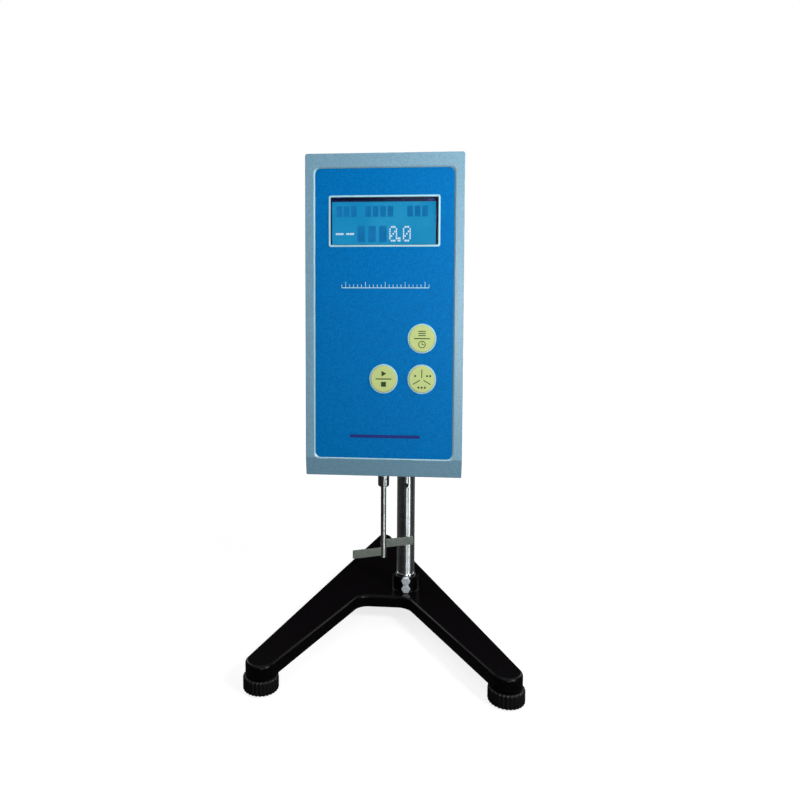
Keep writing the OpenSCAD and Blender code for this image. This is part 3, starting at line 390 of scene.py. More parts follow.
# %% Cutting
def carved(drawn, *tools):
    """The drawn shape with every tool taken away from it."""
    objects = []
    for part in (drawn, *tools):
        mesh = bpy.data.meshes.new("shape")
        part.to_mesh(mesh)
        part.free()
        one = bpy.data.objects.new("shape", mesh)
        bpy.context.scene.collection.objects.link(one)
        objects.append(one)
    for tool in objects[1:]:
        cut = objects[0].modifiers.new("cut", "BOOLEAN")
        cut.operation = "DIFFERENCE"
        cut.solver = "EXACT"
        cut.object = tool
    bpy.context.view_layer.update()
    seen = objects[0].evaluated_get(bpy.context.evaluated_depsgraph_get())
    result = bmesh.new()
    result.from_mesh(seen.to_mesh())
    seen.to_mesh_clear()
    for one in objects:
        mesh = one.data
        bpy.data.objects.remove(one)
        bpy.data.meshes.remove(mesh)
    return result


def flat_plate(w, h, t, corner, y, z, x=0, rim=0.0, steps=8):
    """An upright plate with round corners: front face at y, lower edge at z, centred on x."""
    drawn = block((x - w / 2, y, z), (x + w / 2, y + t, z + h))
    if corner:
        corners = [e for e in drawn.edges if abs(e.verts[0].co.y - e.verts[1].co.y) > t / 2]
        rounded(drawn, corners, corner, steps)
    if rim:
        rounded(drawn, edges_at(drawn, y), rim, steps - 1)
    return drawn


print("cutting helpers ready")

# %% [markdown]
# ## The cast base
#
# The real base is one iron casting: two arms that meet in a wide web, with every corner rounded by
# the pattern maker. A few corner points give the outline. Each corner is then rounded by a vertex
# bevel of its own radius, the face is pulled up into a plate, and an edge bevel rolls the top rim.
# Where two straight edges meet is worked out from the round arm ends, as on a drawing board. The
# vertex bevels stop a hair short of their full radius, so that two that share an edge never touch.

# %% Base outline
def meet(p, d, q, e):
    """The point where the line through p along d crosses the line through q along e."""
    along = ((q - p).x * e.y - (q - p).y * e.x) / (d.x * e.y - d.y * e.x)
    return p + d * along


def touching(c, r, q, s):
    """Direction from circle c to circle q of their common edge on the right, and a point on it."""
    run = q - c
    lean = math.asin((r - s) / run.length)
    way = run.normalized()
    normal = Matrix.Rotation(lean, 2) @ Vector((way.y, -way.x))
    return Vector((-normal.y, normal.x)), c + normal * r


feet = {"left": (-89.8, -86.5), "right": (89.8, -86.5), "rear": (0, 158)}
base_low, base_high = 13.0, 23.0
foot_at, foot_r = Vector(feet["right"]), 11.6
tip_at, tip_r = Vector((0, 178.5)), 6.9
crotch_at, crotch_r = Vector((21, 29.3)), 13.0
outer_way, outer_at = touching(foot_at, foot_r, tip_at, tip_r)
inner_run = foot_at - crotch_at
inner_way = Matrix.Rotation(-math.asin(foot_r / inner_run.length), 2) @ inner_run.normalized()
arm_way = (inner_way - outer_way).normalized()
cap_at = foot_at + arm_way * foot_r
cap_way = Vector((-arm_way.y, arm_way.x))
right_side = [
    (meet(Vector((0, tip_at.y + tip_r)), Vector((1, 0)), outer_at, outer_way), tip_r),
    (meet(outer_at, outer_way, cap_at, cap_way), foot_r),
    (meet(cap_at, cap_way, crotch_at, inner_way), foot_r),
    (crotch_at, crotch_r),
]
print("corners of the right half:", [tuple(round(c, 1) for c in p) for p, r in right_side])

# %% Base casting
HAIR_SHORT = 0.995
RIM_ROLL = 2.2
base = bmesh.new()
left_side = [(Vector((-p.x, p.y)), r) for p, r in reversed(right_side)]
outline = right_side + left_side
corners = [base.verts.new((p.x, p.y, base_low)) for p, r in outline]
base.faces.new(corners)
for i, (corner, (p, radius)) in enumerate(zip(corners, outline)):
    before = (outline[i - 1][0] - p).normalized()
    after = (outline[(i + 1) % len(outline)][0] - p).normalized()
    reach = radius * HAIR_SHORT / math.tan(before.angle(after) / 2)
    bmesh.ops.bevel(base, geom=[corner], offset=reach, offset_type="OFFSET", segments=14,
                    profile=0.5, affect="VERTICES", material=-1)
lifted = bmesh.ops.extrude_face_region(base, geom=base.faces[:])
top = [v for v in lifted["geom"] if isinstance(v, bmesh.types.BMVert)]
bmesh.ops.translate(base, verts=top, vec=(0, 0, base_high - base_low))
bmesh.ops.recalc_face_normals(base, faces=base.faces[:])
rim = [e for e in base.edges if all(abs(v.co.z - base_high) < 1e-4 for v in e.verts)]
rounded(base, rim, RIM_ROLL, 5)
foot_holes = [turned([(0, 12), (5, 12), (5, 21), (0, 21)], (x, y, 0), steps=48)
              for x, y in feet.values()]
base = carved(base, *foot_holes)
column_at = (19.8, 51, 0)
boss = turned([(0, 18), (12.9, 18), (12.9, 23), (12.4, 23.1), (12.1, 23.3), (12, 23.6),
               (12, 35.5), (11.8, 36), (11.2, 36.3), (0, 36.3)], column_at)
base = joined(base, boss)
finished("base_body", base, "base", black_enamel, ["base_casting"])

# %% [markdown]
# ## Column foot
#
# Where the column enters the boss there is a bright ring, and two hexagon bolts hold the column
# from the front. A bolt head is a six-sided prism, 7 mm across its flats, whose front edges are
# broken by a small bevel that catches the light.

# %% Ring and set bolts
BOLT_ACROSS, BOLT_HEAD, BOLT_Y = 7, 2.8, 37.6
ring = turned([(8.05, 36.3), (9.15, 36.3), (9.15, 37.3), (9.0, 37.65), (8.6, 37.8), (8.05, 37.8)],
              column_at, closed=True)
finished("foot_ring", ring, "base", bright_chrome, ["column_ring"])

heads = []
corner_r = BOLT_ACROSS / math.sqrt(3)
for z in (26.7, 33.85):
    head = bmesh.new()
    bmesh.ops.create_cone(head, cap_ends=True, segments=6, radius1=corner_r, radius2=corner_r,
                          depth=BOLT_HEAD)
    turn = Matrix.Rotation(math.radians(90), 4, "X") @ Matrix.Rotation(math.radians(30), 4, "Z")
    head.transform(Matrix.Translation((column_at[0], BOLT_Y, z)) @ turn)
    rounded(head, edges_at(head, BOLT_Y - BOLT_HEAD / 2), 0.45, 3)
    heads.append(head)
    shank = turned([(0, 38.9), (2, 38.9), (2, 43), (0, 43)], (column_at[0], 0, z), "Y", steps=32)
    heads.append(shank)
finished("set_bolt_pair", joined(*heads), "base", bright_zinc, ["set_bolts"])

# %% [markdown]
# ## Column and cap
#
# The column's back carries the rack, whose tooth shapes are right in the CAD node. A copy of that
# node is merged and shaded smooth, so the bar turns the light softly and the teeth stay crisp. The
# plastic cap on the column's top is copied in the same way.

# %% Smoothed copies of CAD nodes
def smoothed(node, finish, edge=0.0):
    """A merged copy of a CAD node with smooth shading and, if edge is given, rounded edges."""
    body = next(b for b, nodes in frame["record"]["behaviour"]["bodies"].items() if node in nodes)
    drawn = bmesh.new()
    drawn.from_mesh(frame["nodes"][node].data)
    bmesh.ops.remove_doubles(drawn, verts=drawn.verts[:], dist=2e-6)
    bmesh.ops.dissolve_limit(drawn, angle_limit=math.radians(0.6), verts=drawn.verts[:],
                             edges=drawn.edges[:])
    if edge:
        sharp = [e for e in drawn.edges
                 if len(e.link_faces) == 2 and e.calc_face_angle(0) > math.radians(40)]
        bmesh.ops.bevel(drawn, geom=sharp, offset=edge / 1000, segments=2, profile=0.5,
                        affect="EDGES", material=-1, clamp_overlap=True)
    return finished(node + "_body", drawn, body, finish, [node], place=Matrix())


smoothed("column", ground_stainless)
smoothed("column_cap", black_phenolic)

# %% [markdown]
# ## Feet
#
# Each foot is a fluted phenolic knob on a threaded stud, with a rubber pad under it. The knob's
# profile is spun, and then the points in the outer fifth of the radius are drawn in by a cosine
# that repeats 28 times, so the flutes come out as soft scallops like the moulded ones.

# %% Fluted knobs
FLUTED_PART = 0.2


def fluted(profile, flutes, depth, at, axis="Z", per_flute=8):
    """A turned knob whose outer points are drawn inwards in even flutes."""
    drawn = turned(profile, steps=flutes * per_flute)
    outer = max(radius for radius, height in profile)
    for v in drawn.verts:
        radius = math.hypot(v.co.x, v.co.y)
        share = max(0.0, (radius - (1 - FLUTED_PART) * outer) / (FLUTED_PART * outer))
        wave = (1 + math.cos(flutes * math.atan2(v.co.y, v.co.x))) / 2
        shrink = 1 - share * depth * wave / max(radius, 1e-6)
        v.co.x *= shrink
        v.co.y *= shrink
    drawn.transform(Matrix.Translation(at) @ LAY[axis])
    return drawn


knob_profile = [(0, 3.2), (10.3, 3.2), (10.3, 1.2), (12.5, 1.2), (13.1, 1.45), (13.4, 2.1),
                (13.4, 10.2), (13.15, 11.0), (12.5, 11.5), (11.8, 11.7), (0, 11.7)]
for side, (x, y) in feet.items():
    knob = fluted(knob_profile, 28, 0.75, (x, y, 0))
    finished(f"foot_knob_{side}_body", knob, f"{side}_foot", black_phenolic,
             [f"foot_knob_{side}"])
    pad = turned([(0, 0), (9.3, 0), (9.8, 0.2), (10, 0.7), (10, 3), (0, 3)], (x, y, 0))
    finished(f"foot_pad_{side}_body", pad, f"{side}_pad", black_rubber,
             [f"foot_pad_{side}"])

# %% [markdown]
# The studs are M6 screws. Their thread is a row of small V ridges here, one for each millimetre of
# pitch: at 0.3 mm deep nobody can tell rings from a helix, and rings spin cleanly.

# %% Studs
def threaded(low, high, radius, pitch=1.0, depth=0.3):
    """The profile of a screw between two heights, with ridges one pitch apart."""
    profile = [(0, low), (radius - depth, low)]
    for k in range(int((high - low) / pitch)):
        z = low + k * pitch
        profile += [(radius - depth, z + 0.1 * pitch), (radius, z + 0.5 * pitch),
                    (radius - depth, z + 0.9 * pitch)]
    return profile + [(radius - depth, high), (0, high)]


for side, (x, y) in feet.items():
    stud = turned(threaded(5.2, 20.5, 3.0), (x, y, 0), steps=40)
    finished(f"foot_stud_{side}_body", stud, f"{side}_foot", bright_zinc,
             [f"foot_stud_{side}"])

# %% [markdown]
# ## The head's front
#
# The front frame is pressed steel, and it starts here as a block. Its top corners are drawn over a
# larger radius than the lower ones, and its front rim is barely broken. A cut across the block
# gives the edge at which the foot of the frame slopes back as a chin.

# %% Front frame
HEAD_W, HEAD_LOW, HEAD_H = 120.0, 152.0, 248.0
FRONT_Y, FRAME_DEEP = -49.0, 12
TOP_CORNER, LOW_CORNER, FRONT_ROLL = 1.8, 0.9, 0.5
CHIN_H, CHIN_SLOPE = 14.7, 4.0
CHIN_TOP = HEAD_LOW + CHIN_H


def cut_across(drawn, point, normal):
    """Draws new edges where a plane passes through the shape."""
    bmesh.ops.bisect_plane(drawn, geom=drawn.verts[:] + drawn.edges[:] + drawn.faces[:],
                           plane_co=point, plane_no=normal, dist=1e-4)


shell = block((-HEAD_W / 2, FRONT_Y, HEAD_LOW),
              (HEAD_W / 2, FRONT_Y + FRAME_DEEP, HEAD_LOW + HEAD_H))
for high, radius in ((True, TOP_CORNER), (False, LOW_CORNER)):
    corners = [e for e in shell.edges
               if abs(e.verts[0].co.y - e.verts[1].co.y) > FRAME_DEEP / 2
               and (e.verts[0].co.z > HEAD_LOW + HEAD_H / 2) == high]
    rounded(shell, corners, radius, 8)
rounded(shell, edges_at(shell, FRONT_Y), FRONT_ROLL, 7)
cut_across(shell, (0, 0, CHIN_TOP), (0, 0, 1))
for v in shell.verts:
    if v.co.z < CHIN_TOP and v.co.y < FRONT_Y + FRAME_DEEP / 2:
        v.co.y += CHIN_SLOPE * (CHIN_TOP - v.co.z) / CHIN_H
print("frame block:", len(shell.faces), "faces")

# %% [markdown]
# The panel lies in a shallow recess. The side of the recess slopes outwards near the front, and
# that slope is the bright line round the panel: it catches light, and its paler coat is a painted
# highlight for that light. The tool that cuts the recess is a plate the size of the panel, widened
# at its front, which stands a little ahead of the frame. The slope is 1.6 mm wide, and 1.3 mm at
# the foot. Two more tools hollow the frame from behind and open it for the display, all but a
# narrow lap behind the window's edge. The faces that lean and lie beside the panel are the slope,
# and they get the paler coat of the painted highlight. The chin leans by 15 degrees, so the crease
# angle is set just below that: with a larger one the shading would run round the chin's edge as a
# smear.

# %% Panel recess
PANEL_W, PANEL_H, PANEL_LOW, PANEL_CORNER = 104.6, 221.6, 167.1, 4.3
WINDOW_W, WINDOW_H, WINDOW_LOW = 81.4, 36.2, 330.9
PANEL_GAP, RECESS_DEEP, SLOPE_DEEP = 0.1, 2.0, 0.9
SLOPE_OUT, SLOPE_DOWN, LAP = 1.6, 1.3, 0.2
AHEAD, BESIDE = 0.4, 1.5
recess = flat_plate(PANEL_W + 2 * PANEL_GAP, PANEL_H + 2 * PANEL_GAP, RECESS_DEEP + AHEAD,
                    PANEL_CORNER, FRONT_Y - AHEAD, PANEL_LOW - PANEL_GAP, steps=12)
cut_across(recess, (0, FRONT_Y + SLOPE_DEEP, 0), (0, 1, 0))
for v in recess.verts:
    if v.co.y < FRONT_Y - AHEAD / 2:
        v.co.x *= 1 + 2 * SLOPE_OUT / PANEL_W
        v.co.z += SLOPE_OUT if v.co.z > PANEL_LOW + PANEL_H / 2 else -SLOPE_DOWN
hollow = flat_plate(114, 228.3, 12, 1.5, -45, 168.7)
opening = flat_plate(WINDOW_W - 2 * LAP, WINDOW_H - 2 * LAP, 8, 0.8, -50, WINDOW_LOW + LAP)
shell = carved(shell, recess, hollow, opening)
for face in shell.faces:
    middle = face.calc_center_median()
    leaning = 0.15 < abs(face.normal.y) < 0.97
    near_x = abs(middle.x) < PANEL_W / 2 + BESIDE
    near_z = PANEL_LOW - BESIDE < middle.z < PANEL_LOW + PANEL_H + BESIDE
    if leaning and near_x and near_z and middle.y > FRONT_Y - 0.1:
        # The slope's faces take the paler coat, a painted highlight.
        face.material_index = 1
finished("front_frame_body", shell, "head", [powder_coat, slope_highlight_coat],
         ["front_frame"], crease=14)

# %% [markdown]
# The window is clear acrylic let into the panel, with a pale printed rim that stands up from the
# film. The rim is a rounded plate with a smaller plate cut out of it, and its front edge is rolled.
# Behind the window lie the display's dark border and its lit field, which is a little smaller.
# The field sits low and 0.4 mm to the left, so the border shows wider at the top and right: painted
# shade where the window's rim shadows the display.

# %% Window rim and display
RIM_W = 1.3
rim_plate = flat_plate(WINDOW_W + 2 * RIM_W, WINDOW_H + 2 * RIM_W, 0.4, 1.6, -48.6,
                       WINDOW_LOW - RIM_W, rim=0.15)
rim_hole = flat_plate(WINDOW_W, WINDOW_H, 3, 0.8, -49.6, WINDOW_LOW)
finished("window_rim_body", carved(rim_plate, rim_hole), "head", pale_ink,
         ["window_rim"])

border = block((-41.5, -46.6, 330.2), (41.5, -45.2, 367.8))
finished("display_border", border, "head", display_dark)
# The field sits low and to the left, so the dark border is wider at the top and right: painted
# shade for the shadow of the window's rim.
field = flat_plate(78.0, 32.2, 0.2, 0.4, -46.8, 331.3, x=-0.4)
finished("display_field", field, "head", display_glow)

# %% [markdown]
# The display is a dot matrix. Cells that are off still show as slightly darker blocks, and a digit
# is five dots wide and seven high. The digits here are plain zeros with a point and two dashes,
# which is what such a meter shows at rest. Each pattern is a few strings, and a small block is
# copied to every dot.

# %% Display cells and digits
CELL_Y, DOT_Y = (-46.9, -46.75), (-46.96, -46.8)
CELL_STEP = 5.6
DOT_W, DOT_H, DOT_STEP_X, DOT_STEP_Z = 0.88, 1.35, 1.22, 1.72
DIGIT_TOP = 345.2


def tile(x, z, w, h, depths):
    """A flat tile with its lower left corner at x, z, between two depths."""
    return block((x, depths[0], z), (x + w, depths[1], z + h))


cells = [tile(start + CELL_STEP * k, 352.2, 4.2, 8.2, CELL_Y)
         for start, count in ((-36.2, 3), (-14.2, 4), (17.3, 3)) for k in range(count)]
cells += [tile(x, 333.2, 5.6, 12.2, CELL_Y) for x in (-20.2, -12.0, -3.8)]
finished("display_cells", joined(*cells), "head", display_cell)

ZERO = ["01110", "10001", "10011", "10101", "11001", "10001", "01110"]
DASH = ["00000", "00000", "00000", "11111", "00000", "00000", "00000"]
POINT = ["00000", "00000", "00000", "00000", "00000", "01100", "01100"]
dots = []
for x, shape in ((-36.6, DASH), (-28.6, DASH), (4.0, ZERO), (9.0, POINT), (14.2, ZERO)):
    for row, line in enumerate(shape):
        for column, mark in enumerate(line):
            if mark == "1":
                low = DIGIT_TOP - DOT_STEP_Z * row - DOT_H
                dots.append(tile(x + DOT_STEP_X * column, low, DOT_W, DOT_H, DOT_Y))
finished("display_digits", joined(*dots), "head", display_dot)

# %% [markdown]
# ## Keys
#
# A key is an oval cap with a softly rolled edge in a pale raised ring. A circle is stretched to an
# oval, pulled out and bevelled. Behind the panel each cap has a wider lip, which keeps it from
# falling out, and a stem that presses its switch.

# %% Oval caps and rings
def oval(w, h, x, z, y_back, y_front, edge=0):
    """An oval button between two depths and, if edge is given, with its front edge rolled."""
    drawn = bmesh.new()
    bmesh.ops.create_circle(drawn, cap_ends=True, segments=96, radius=1.0)
    upright = Matrix.Rotation(math.radians(90), 4, "X") @ Matrix.Diagonal((w / 2, h / 2, 1, 1))
    drawn.transform(Matrix.Translation((x, y_back, z)) @ upright)
    pulled = bmesh.ops.extrude_face_region(drawn, geom=drawn.faces[:])
    front = [v for v in pulled["geom"] if isinstance(v, bmesh.types.BMVert)]
    bmesh.ops.translate(drawn, verts=front, vec=(0, y_front - y_back, 0))
    bmesh.ops.recalc_face_normals(drawn, faces=drawn.faces[:])
    if edge:
        rounded(drawn, edges_at(drawn, y_front), edge, 4)
    return drawn


keys = {"print": (29, 260.0), "run": (0, 228.8), "units": (29, 228.8)}
rings = []
for x, z in keys.values():
    ring = oval(21.6, 22.6, x, z, -48.2, -48.6, 0.18)
    rings.append(carved(ring, oval(19.8, 20.8, x, z, -40, -50)))
finished("key_ring_set", joined(*rings), "head", pale_ink, ["key_rings"])
for name, (x, z) in keys.items():
    cap = oval(19.4, 20.4, x, z, -46.9, -49.1, 0.5)
    lip = oval(21.8, 22.8, x, z, -45.9, -46.9)
    stem = turned([(0, -46), (3, -46), (3, -44), (0, -44)], (x, 0, z), "Y", steps=32)
    finished(f"key_{name}_body", joined(cap, lip, stem), f"{name}_key", key_plastic,
             [f"key_{name}"])

# %% [markdown]
# The caps carry plain generic signs: a triangle and a square for run and stop, a dial and a slip
# for print and timing, and one, two and three dots in the three fields of the units key. The ink
# is a skin on the cap's face at y = -49.1, drawn a tenth of a millimetre thick.

# %% Signs on the keys
INK_Y = (-49.12, -49.02)


def bar(x, z, length, width, turn=0.0):
    """A flat printed bar on a key's face, turned by some degrees."""
    drawn = block((-length / 2, INK_Y[0], -width / 2), (length / 2, INK_Y[1], width / 2))
    drawn.transform(Matrix.Translation((x, 0, z)) @ Matrix.Rotation(math.radians(turn), 4, "Y"))
    return drawn


def disc(x, z, radius, hole=0.0):
    """A flat printed disc or, with a hole, a printed circle."""
    profile = [(hole, INK_Y[0]), (radius, INK_Y[0]), (radius, INK_Y[1]), (hole, INK_Y[1])]
    return turned(profile, (x, 0, z), "Y", steps=40, closed=True)


def triangle(x, z, size):
    """A printed triangle that points to the right."""
    drawn = bmesh.new()
    bmesh.ops.create_cone(drawn, cap_ends=True, segments=3, radius1=size, radius2=size, depth=0.1)
    turn = Matrix.Rotation(math.radians(90), 4, "X") @ Matrix.Rotation(math.radians(-90), 4, "Z")
    drawn.transform(Matrix.Translation((x, sum(INK_Y) / 2, z)) @ turn)
    return drawn


DOT_R = 0.8
x, z = keys["run"]
signs = [bar(x, z, 12, 0.8), triangle(x - 0.3, z + 4.1, 2.5), bar(x, z - 4.1, 3.8, 3.8)]
finished("run_key_signs", joined(*signs), "run_key", key_ink)
x, z = keys["print"]
signs = [bar(x, z, 12, 0.8), bar(x, z + 5.5, 5.6, 0.7), bar(x, z + 3.9, 5.6, 0.7),
         bar(x, z + 2.3, 5.6, 0.7), disc(x, z - 4.5, 2.8, 2.2), bar(x, z - 3.6, 0.55, 2.0),
         bar(x + 0.9, z - 4.6, 1.8, 0.55)]
finished("print_key_signs", joined(*signs), "print_key", key_ink)
x, z = keys["units"]
signs = [bar(x, z + 4.3, 0.7, 6.6)]
signs += [bar(x + s * 4.0, z - 2.2, 6.2, 0.7, turn=s * 31) for s in (-1, 1)]
signs += [disc(x + dx, z + 2.6, DOT_R) for dx in (-5.0, 4.0, 6.3)]
signs += [disc(x + dx, z - 6.3, DOT_R) for dx in (-2.4, 0, 2.4)]
finished("units_key_signs", joined(*signs), "units_key", key_ink)

# %% [markdown]
# Where the real panel carries words, this one has plain printing: a graduated rule in pale ink
# under the display and one navy stripe near the foot.

# %% Panel printing
PRINT_Y = (-48.26, -48.16)
RULE_LEFT, RULE_LOW, LINE_W, MARKS, MARK_STEP = -32, 298.2, 0.6, 23, 3
rule = [tile(RULE_LEFT, RULE_LOW, MARK_STEP * (MARKS - 1), LINE_W, PRINT_Y)]
for k in range(MARKS):
    tall = 4.2 if k % 5 == 1 else 2.2
    rule.append(tile(RULE_LEFT + MARK_STEP * k - 0.2, RULE_LOW + LINE_W, 0.4, tall, PRINT_Y))
finished("panel_rule", joined(*rule), "head", pale_ink)
stripe = flat_plate(54, 2.6, 0.08, 1.29, -48.27, 182.7, x=1)
finished("panel_stripe", stripe, "head", navy_ink)

# %% [markdown]
# ## Cover and back
#
# The folded cover, the plates and the sockets have the right shapes in CAD. What the CAD lacks is
# the small radius that every folded or moulded edge has, so merged copies get a narrow bevel.

# %% Cover, plates and lift
smoothed("cover", powder_coat, edge=0.35)
smoothed("rear_plate", powder_coat, edge=0.3)
smoothed("bottom_plate", powder_coat, edge=0.25)
smoothed("carriage", crinkle_paint, edge=0.6)
smoothed("carriage_bushes", turned_brass)
smoothed("case_screws", bright_zinc)
smoothed("power_inlet", black_phenolic, edge=0.25)
smoothed("switch_frame", black_phenolic, edge=0.25)
smoothed("switch_rocker", black_phenolic, edge=0.3)
smoothed("serial_port", bright_zinc, edge=0.15)
smoothed("pinion_shaft", ground_stainless)

# %% [markdown]
# The two knobs of the lift sit behind the head: a large one on the pinion shaft that raises the
# head, and a small one that locks it. They are fluted like the feet, only coarser.

# %% Lift and lock knobs
lift_profile = [(0, 0), (13.4, 0), (14.6, 0.5), (15, 1.6), (15, 15.6), (14.5, 17.2), (13.2, 18),
                (6, 18), (5.5, 17.6), (0, 17.6)]
lift = fluted(lift_profile, 14, 1.1, (36.3, 66.5, 300), "X", per_flute=12)
finished("lift_knob_body", lift, "lift_pinion", black_phenolic, ["lift_knob"])
lock_profile = [(0, -14), (8.6, -14), (9.6, -13.4), (10, -12.4), (10, -1.2), (9.6, -0.3), (8.8, 0),
                (0, 0)]
lock = fluted(lock_profile, 10, 1.2, (3.3, 51, 300), "X", per_flute=12)
finished("lock_knob_body", lock, "lock", black_phenolic, ["lock_knob"])

# %% [markdown]
# ## Spindle and paddle
#
# The chuck is a turned collar with a tapered nose, the rod is thin ground bar, and the two blades
# are strips set at different heights on opposite sides of the rod. Their corners are only just
# broken, as a paddle that has to have exact sizes is left.

# %% Chuck, rod and paddle
chuck = turned([(2.3, 131), (3.2, 131), (4.2, 131.35), (4.55, 132.0), (4.7, 132.6), (4.7, 149.3),
                (4.5, 149.8), (4.1, 150), (3.0, 150), (3.0, 139), (2.3, 139)], closed=True)
finished("chuck_body", chuck, "rotor", ground_stainless, ["chuck"])
rod = turned([(0, 70), (1.75, 70), (2.15, 70.15), (2.3, 70.6), (2.3, 139), (0, 139)], steps=64)
finished("paddle_rod_body", rod, "rotor", ground_stainless, ["paddle_rod"])
blades = joined(block((-27, -0.7, 71.7), (-1.9, 0.7, 78.5), edge=0.12),
                block((1.9, -0.7, 78.4), (27, 0.7, 85.2), edge=0.12))
blades.transform(Matrix.Rotation(PADDLE_TURN, 4, "Z"))
finished("paddle_body", blades, "rotor", rolled_strip, ["paddle"])

# %% [markdown]
# The level on top of the head is a small round vial: a chromed ring, a yellow green liquid under a
# domed lid, a black circle and a bubble.

# %% Level vial
vial_at = (0, -5, 0)
vial = turned([(0, 391), (6.2, 391), (6.2, 399.75), (0, 399.95)], vial_at, steps=64)
finished("vial_liquid_body", vial, "head", vial_liquid, ["level_vial"])
vial_ring = turned([(6.2, 391), (7, 391), (7, 399.8), (6.8, 400), (6.2, 399.9)], vial_at,
                   steps=64, closed=True)
finished("vial_ring", vial_ring, "head", bright_chrome)
circle = turned([(2.5, 399.86), (2.8, 399.86), (2.8, 399.96), (2.5, 399.96)], vial_at,
                steps=48, closed=True)
finished("vial_circle", circle, "head", key_ink)
bubble = bmesh.new()
bmesh.ops.create_uvsphere(bubble, u_segments=32, v_segments=16, radius=1.0)
bubble.transform(Matrix.Translation((0.3, -5.2, 399.3)) @ Matrix.Diagonal((1.9, 1.9, 0.55, 1)))
finished("vial_bubble", bubble, "head", pale_ink)

# %% [markdown]
# ## Pieces inside
#
# Nobody sees the drive, the boards and the power supply until the cover is off, so they keep their
# CAD shapes. Each still gets the finish of the real thing.

# %% Finishes of the inner pieces
inner = {
    "foot_bushes": turned_brass, "front_panel": blue_film, "window_lens": clear_acrylic,
    "lcd_module": display_dark, "keypad_board": solder_mask, "tact_switches": black_phenolic,
    "main_board": solder_mask, "board_standoffs": bright_zinc, "upper_plate": milled_aluminium,
    "frame_pillars": milled_aluminium, "shaft_bearings": bright_chrome, "motor": black_zinc,
    "optical_sensor": black_phenolic, "power_supply": milled_aluminium,
    "carriage_bolts": bright_zinc, "spindle_shaft": ground_stainless, "drive_gear": turned_brass,
    "spiral_spring": blued_steel, "slotted_disc": black_zinc, "motor_pinion": turned_brass,
    "lock_screw": bright_zinc,
}
for name, finish in inner.items():
    mesh = frame["nodes"][name].data
    mesh.materials.clear()
    mesh.materials.append(finish)
print(len(inner), "CAD nodes dressed as they are")

# %% [markdown]
# ## Studio
#
# The picture was taken a little above the keys, from about 0.6 m, with the camera tipped down by
# 3.8 degrees and turned 5.5 degrees to the left. The lens is shifted, as on a view camera, which
# puts the object in the middle of the picture without turning the camera back to it.

# %% Camera
TIPPED_DOWN, ROLLED, TURNED_LEFT = 3.82, 0.09, 5.5
camera_data = bpy.data.cameras.new("camera")
camera_data.lens = 33.70
camera_data.sensor_width = 36
camera_data.shift_x = 0.1015
camera_data.shift_y = -0.1033
camera = bpy.data.objects.new("camera", camera_data)
camera.location = (0.00536, -0.66245, 0.3141)
camera.rotation_euler = [math.radians(a) for a in (90 - TIPPED_DOWN, ROLLED, TURNED_LEFT)]
bpy.context.scene.collection.objects.link(camera)
bpy.context.scene.camera = camera
print("camera at", tuple(round(c, 3) for c in camera.location))

# %% [markdown]
# The object stands in soft light. A broad lamp shines from above and in front, and a small one from
# the right lifts the right edge of the frame. Two lamps work on shiny pieces alone: the sheen lamp
# lies low in front and the line lamp far to the right, and they draw the bright lines on the
# column and the rod. Two lamps behind and a fill on the left are for the views from there. The
# fill is hidden from shiny pieces, which would show it as a pale patch.

# %% Lamps
FRONT_OF_HEAD, BACK_OF_HEAD = (0.02, -0.05, 0.26), (0, 0.05, 0.25)


def lamp(name, at, aim, size, power, colour="#ffffff"):
    """A square soft lamp that looks at a point, with its size in metres and power in watts."""
    data = bpy.data.lights.new(name, "AREA")
    data.energy = power
    data.size = size
    data.color = tone(colour)[:3]
    obj = bpy.data.objects.new(name, data)
    obj.location = at
    obj.rotation_euler = (Vector(aim) - Vector(at)).to_track_quat("-Z", "Y").to_euler()
    obj.visible_camera = False
    bpy.context.scene.collection.objects.link(obj)
    return obj


lamp("side_lamp", (0.42, -0.42, 0.5), FRONT_OF_HEAD, 0.2, 4.0)
lamp("top_lamp", (-0.3, -1.1, 1.7), (0, 0, 0.2), 0.9, 5)
sheen_lamp = lamp("sheen_lamp", (0.36, -1.5, 0.2), (0.05, -0.09, 0.27), 0.3, 6.5)
sheen_lamp.visible_diffuse = False
line_lamp = lamp("line_lamp", (1.4, -1.3, 0.3), (0.02, 0, 0.1), 0.2, 14, "#eefbff")
line_lamp.visible_diffuse = False
lamp("back_lamp_left", (-1.1, 1.2, 1.0), BACK_OF_HEAD, 0.9, 7)
lamp("back_lamp_right", (1.1, 1.0, 0.9), BACK_OF_HEAD, 0.9, 7)
left_fill = lamp("left_fill", (-1.4, -0.05, 0.7), (0, 0, 0.25), 0.9, 7)
left_fill.visible_glossy = False

# %% [markdown]
# The sky is white wherever the camera, a mirror or the clear window looks at it, as in a picture
# that is cut out on white. For everything else it gives only a quarter of that light, so that the
# lamps still shape the object.

# %% Sky
SKY_SEEN, SKY_FILL = 1.0, 0.24
world = bpy.data.worlds.new("sky")
world.use_nodes = True
bpy.context.scene.world = world
rays = add(world, "LightPath")
outright = add(world, "Math", operation="MAXIMUM",
               links={0: rays.outputs["Is Camera Ray"], 1: rays.outputs["Is Glossy Ray"]})
seen = add(world, "Math", operation="MAXIMUM",
           links={0: outright.outputs[0], 1: rays.outputs["Is Transmission Ray"]})
level = add(world, "MapRange", {"To Min": SKY_FILL, "To Max": SKY_SEEN}, {"Value": seen.outputs[0]})
sky = world.node_tree.nodes["Background"]
sky.inputs["Color"].default_value = (1, 1, 1, 1)
world.node_tree.links.new(level.outputs["Result"], sky.inputs["Strength"])
print("sky ready")

# %% [markdown]
# The floor in the picture is burnt out to white, and it still darkens a little under the arms. So
# the camera sees half paint, which takes the contact shadows, and half an even glow, which grows
# with the distance until floor and sky are one white. Shiny pieces see hardly any floor, because
# the real enamel and steel stay dark below, and half of the light that the floor throws back onto
# dull pieces is taken away, or the chin of the head would shine.

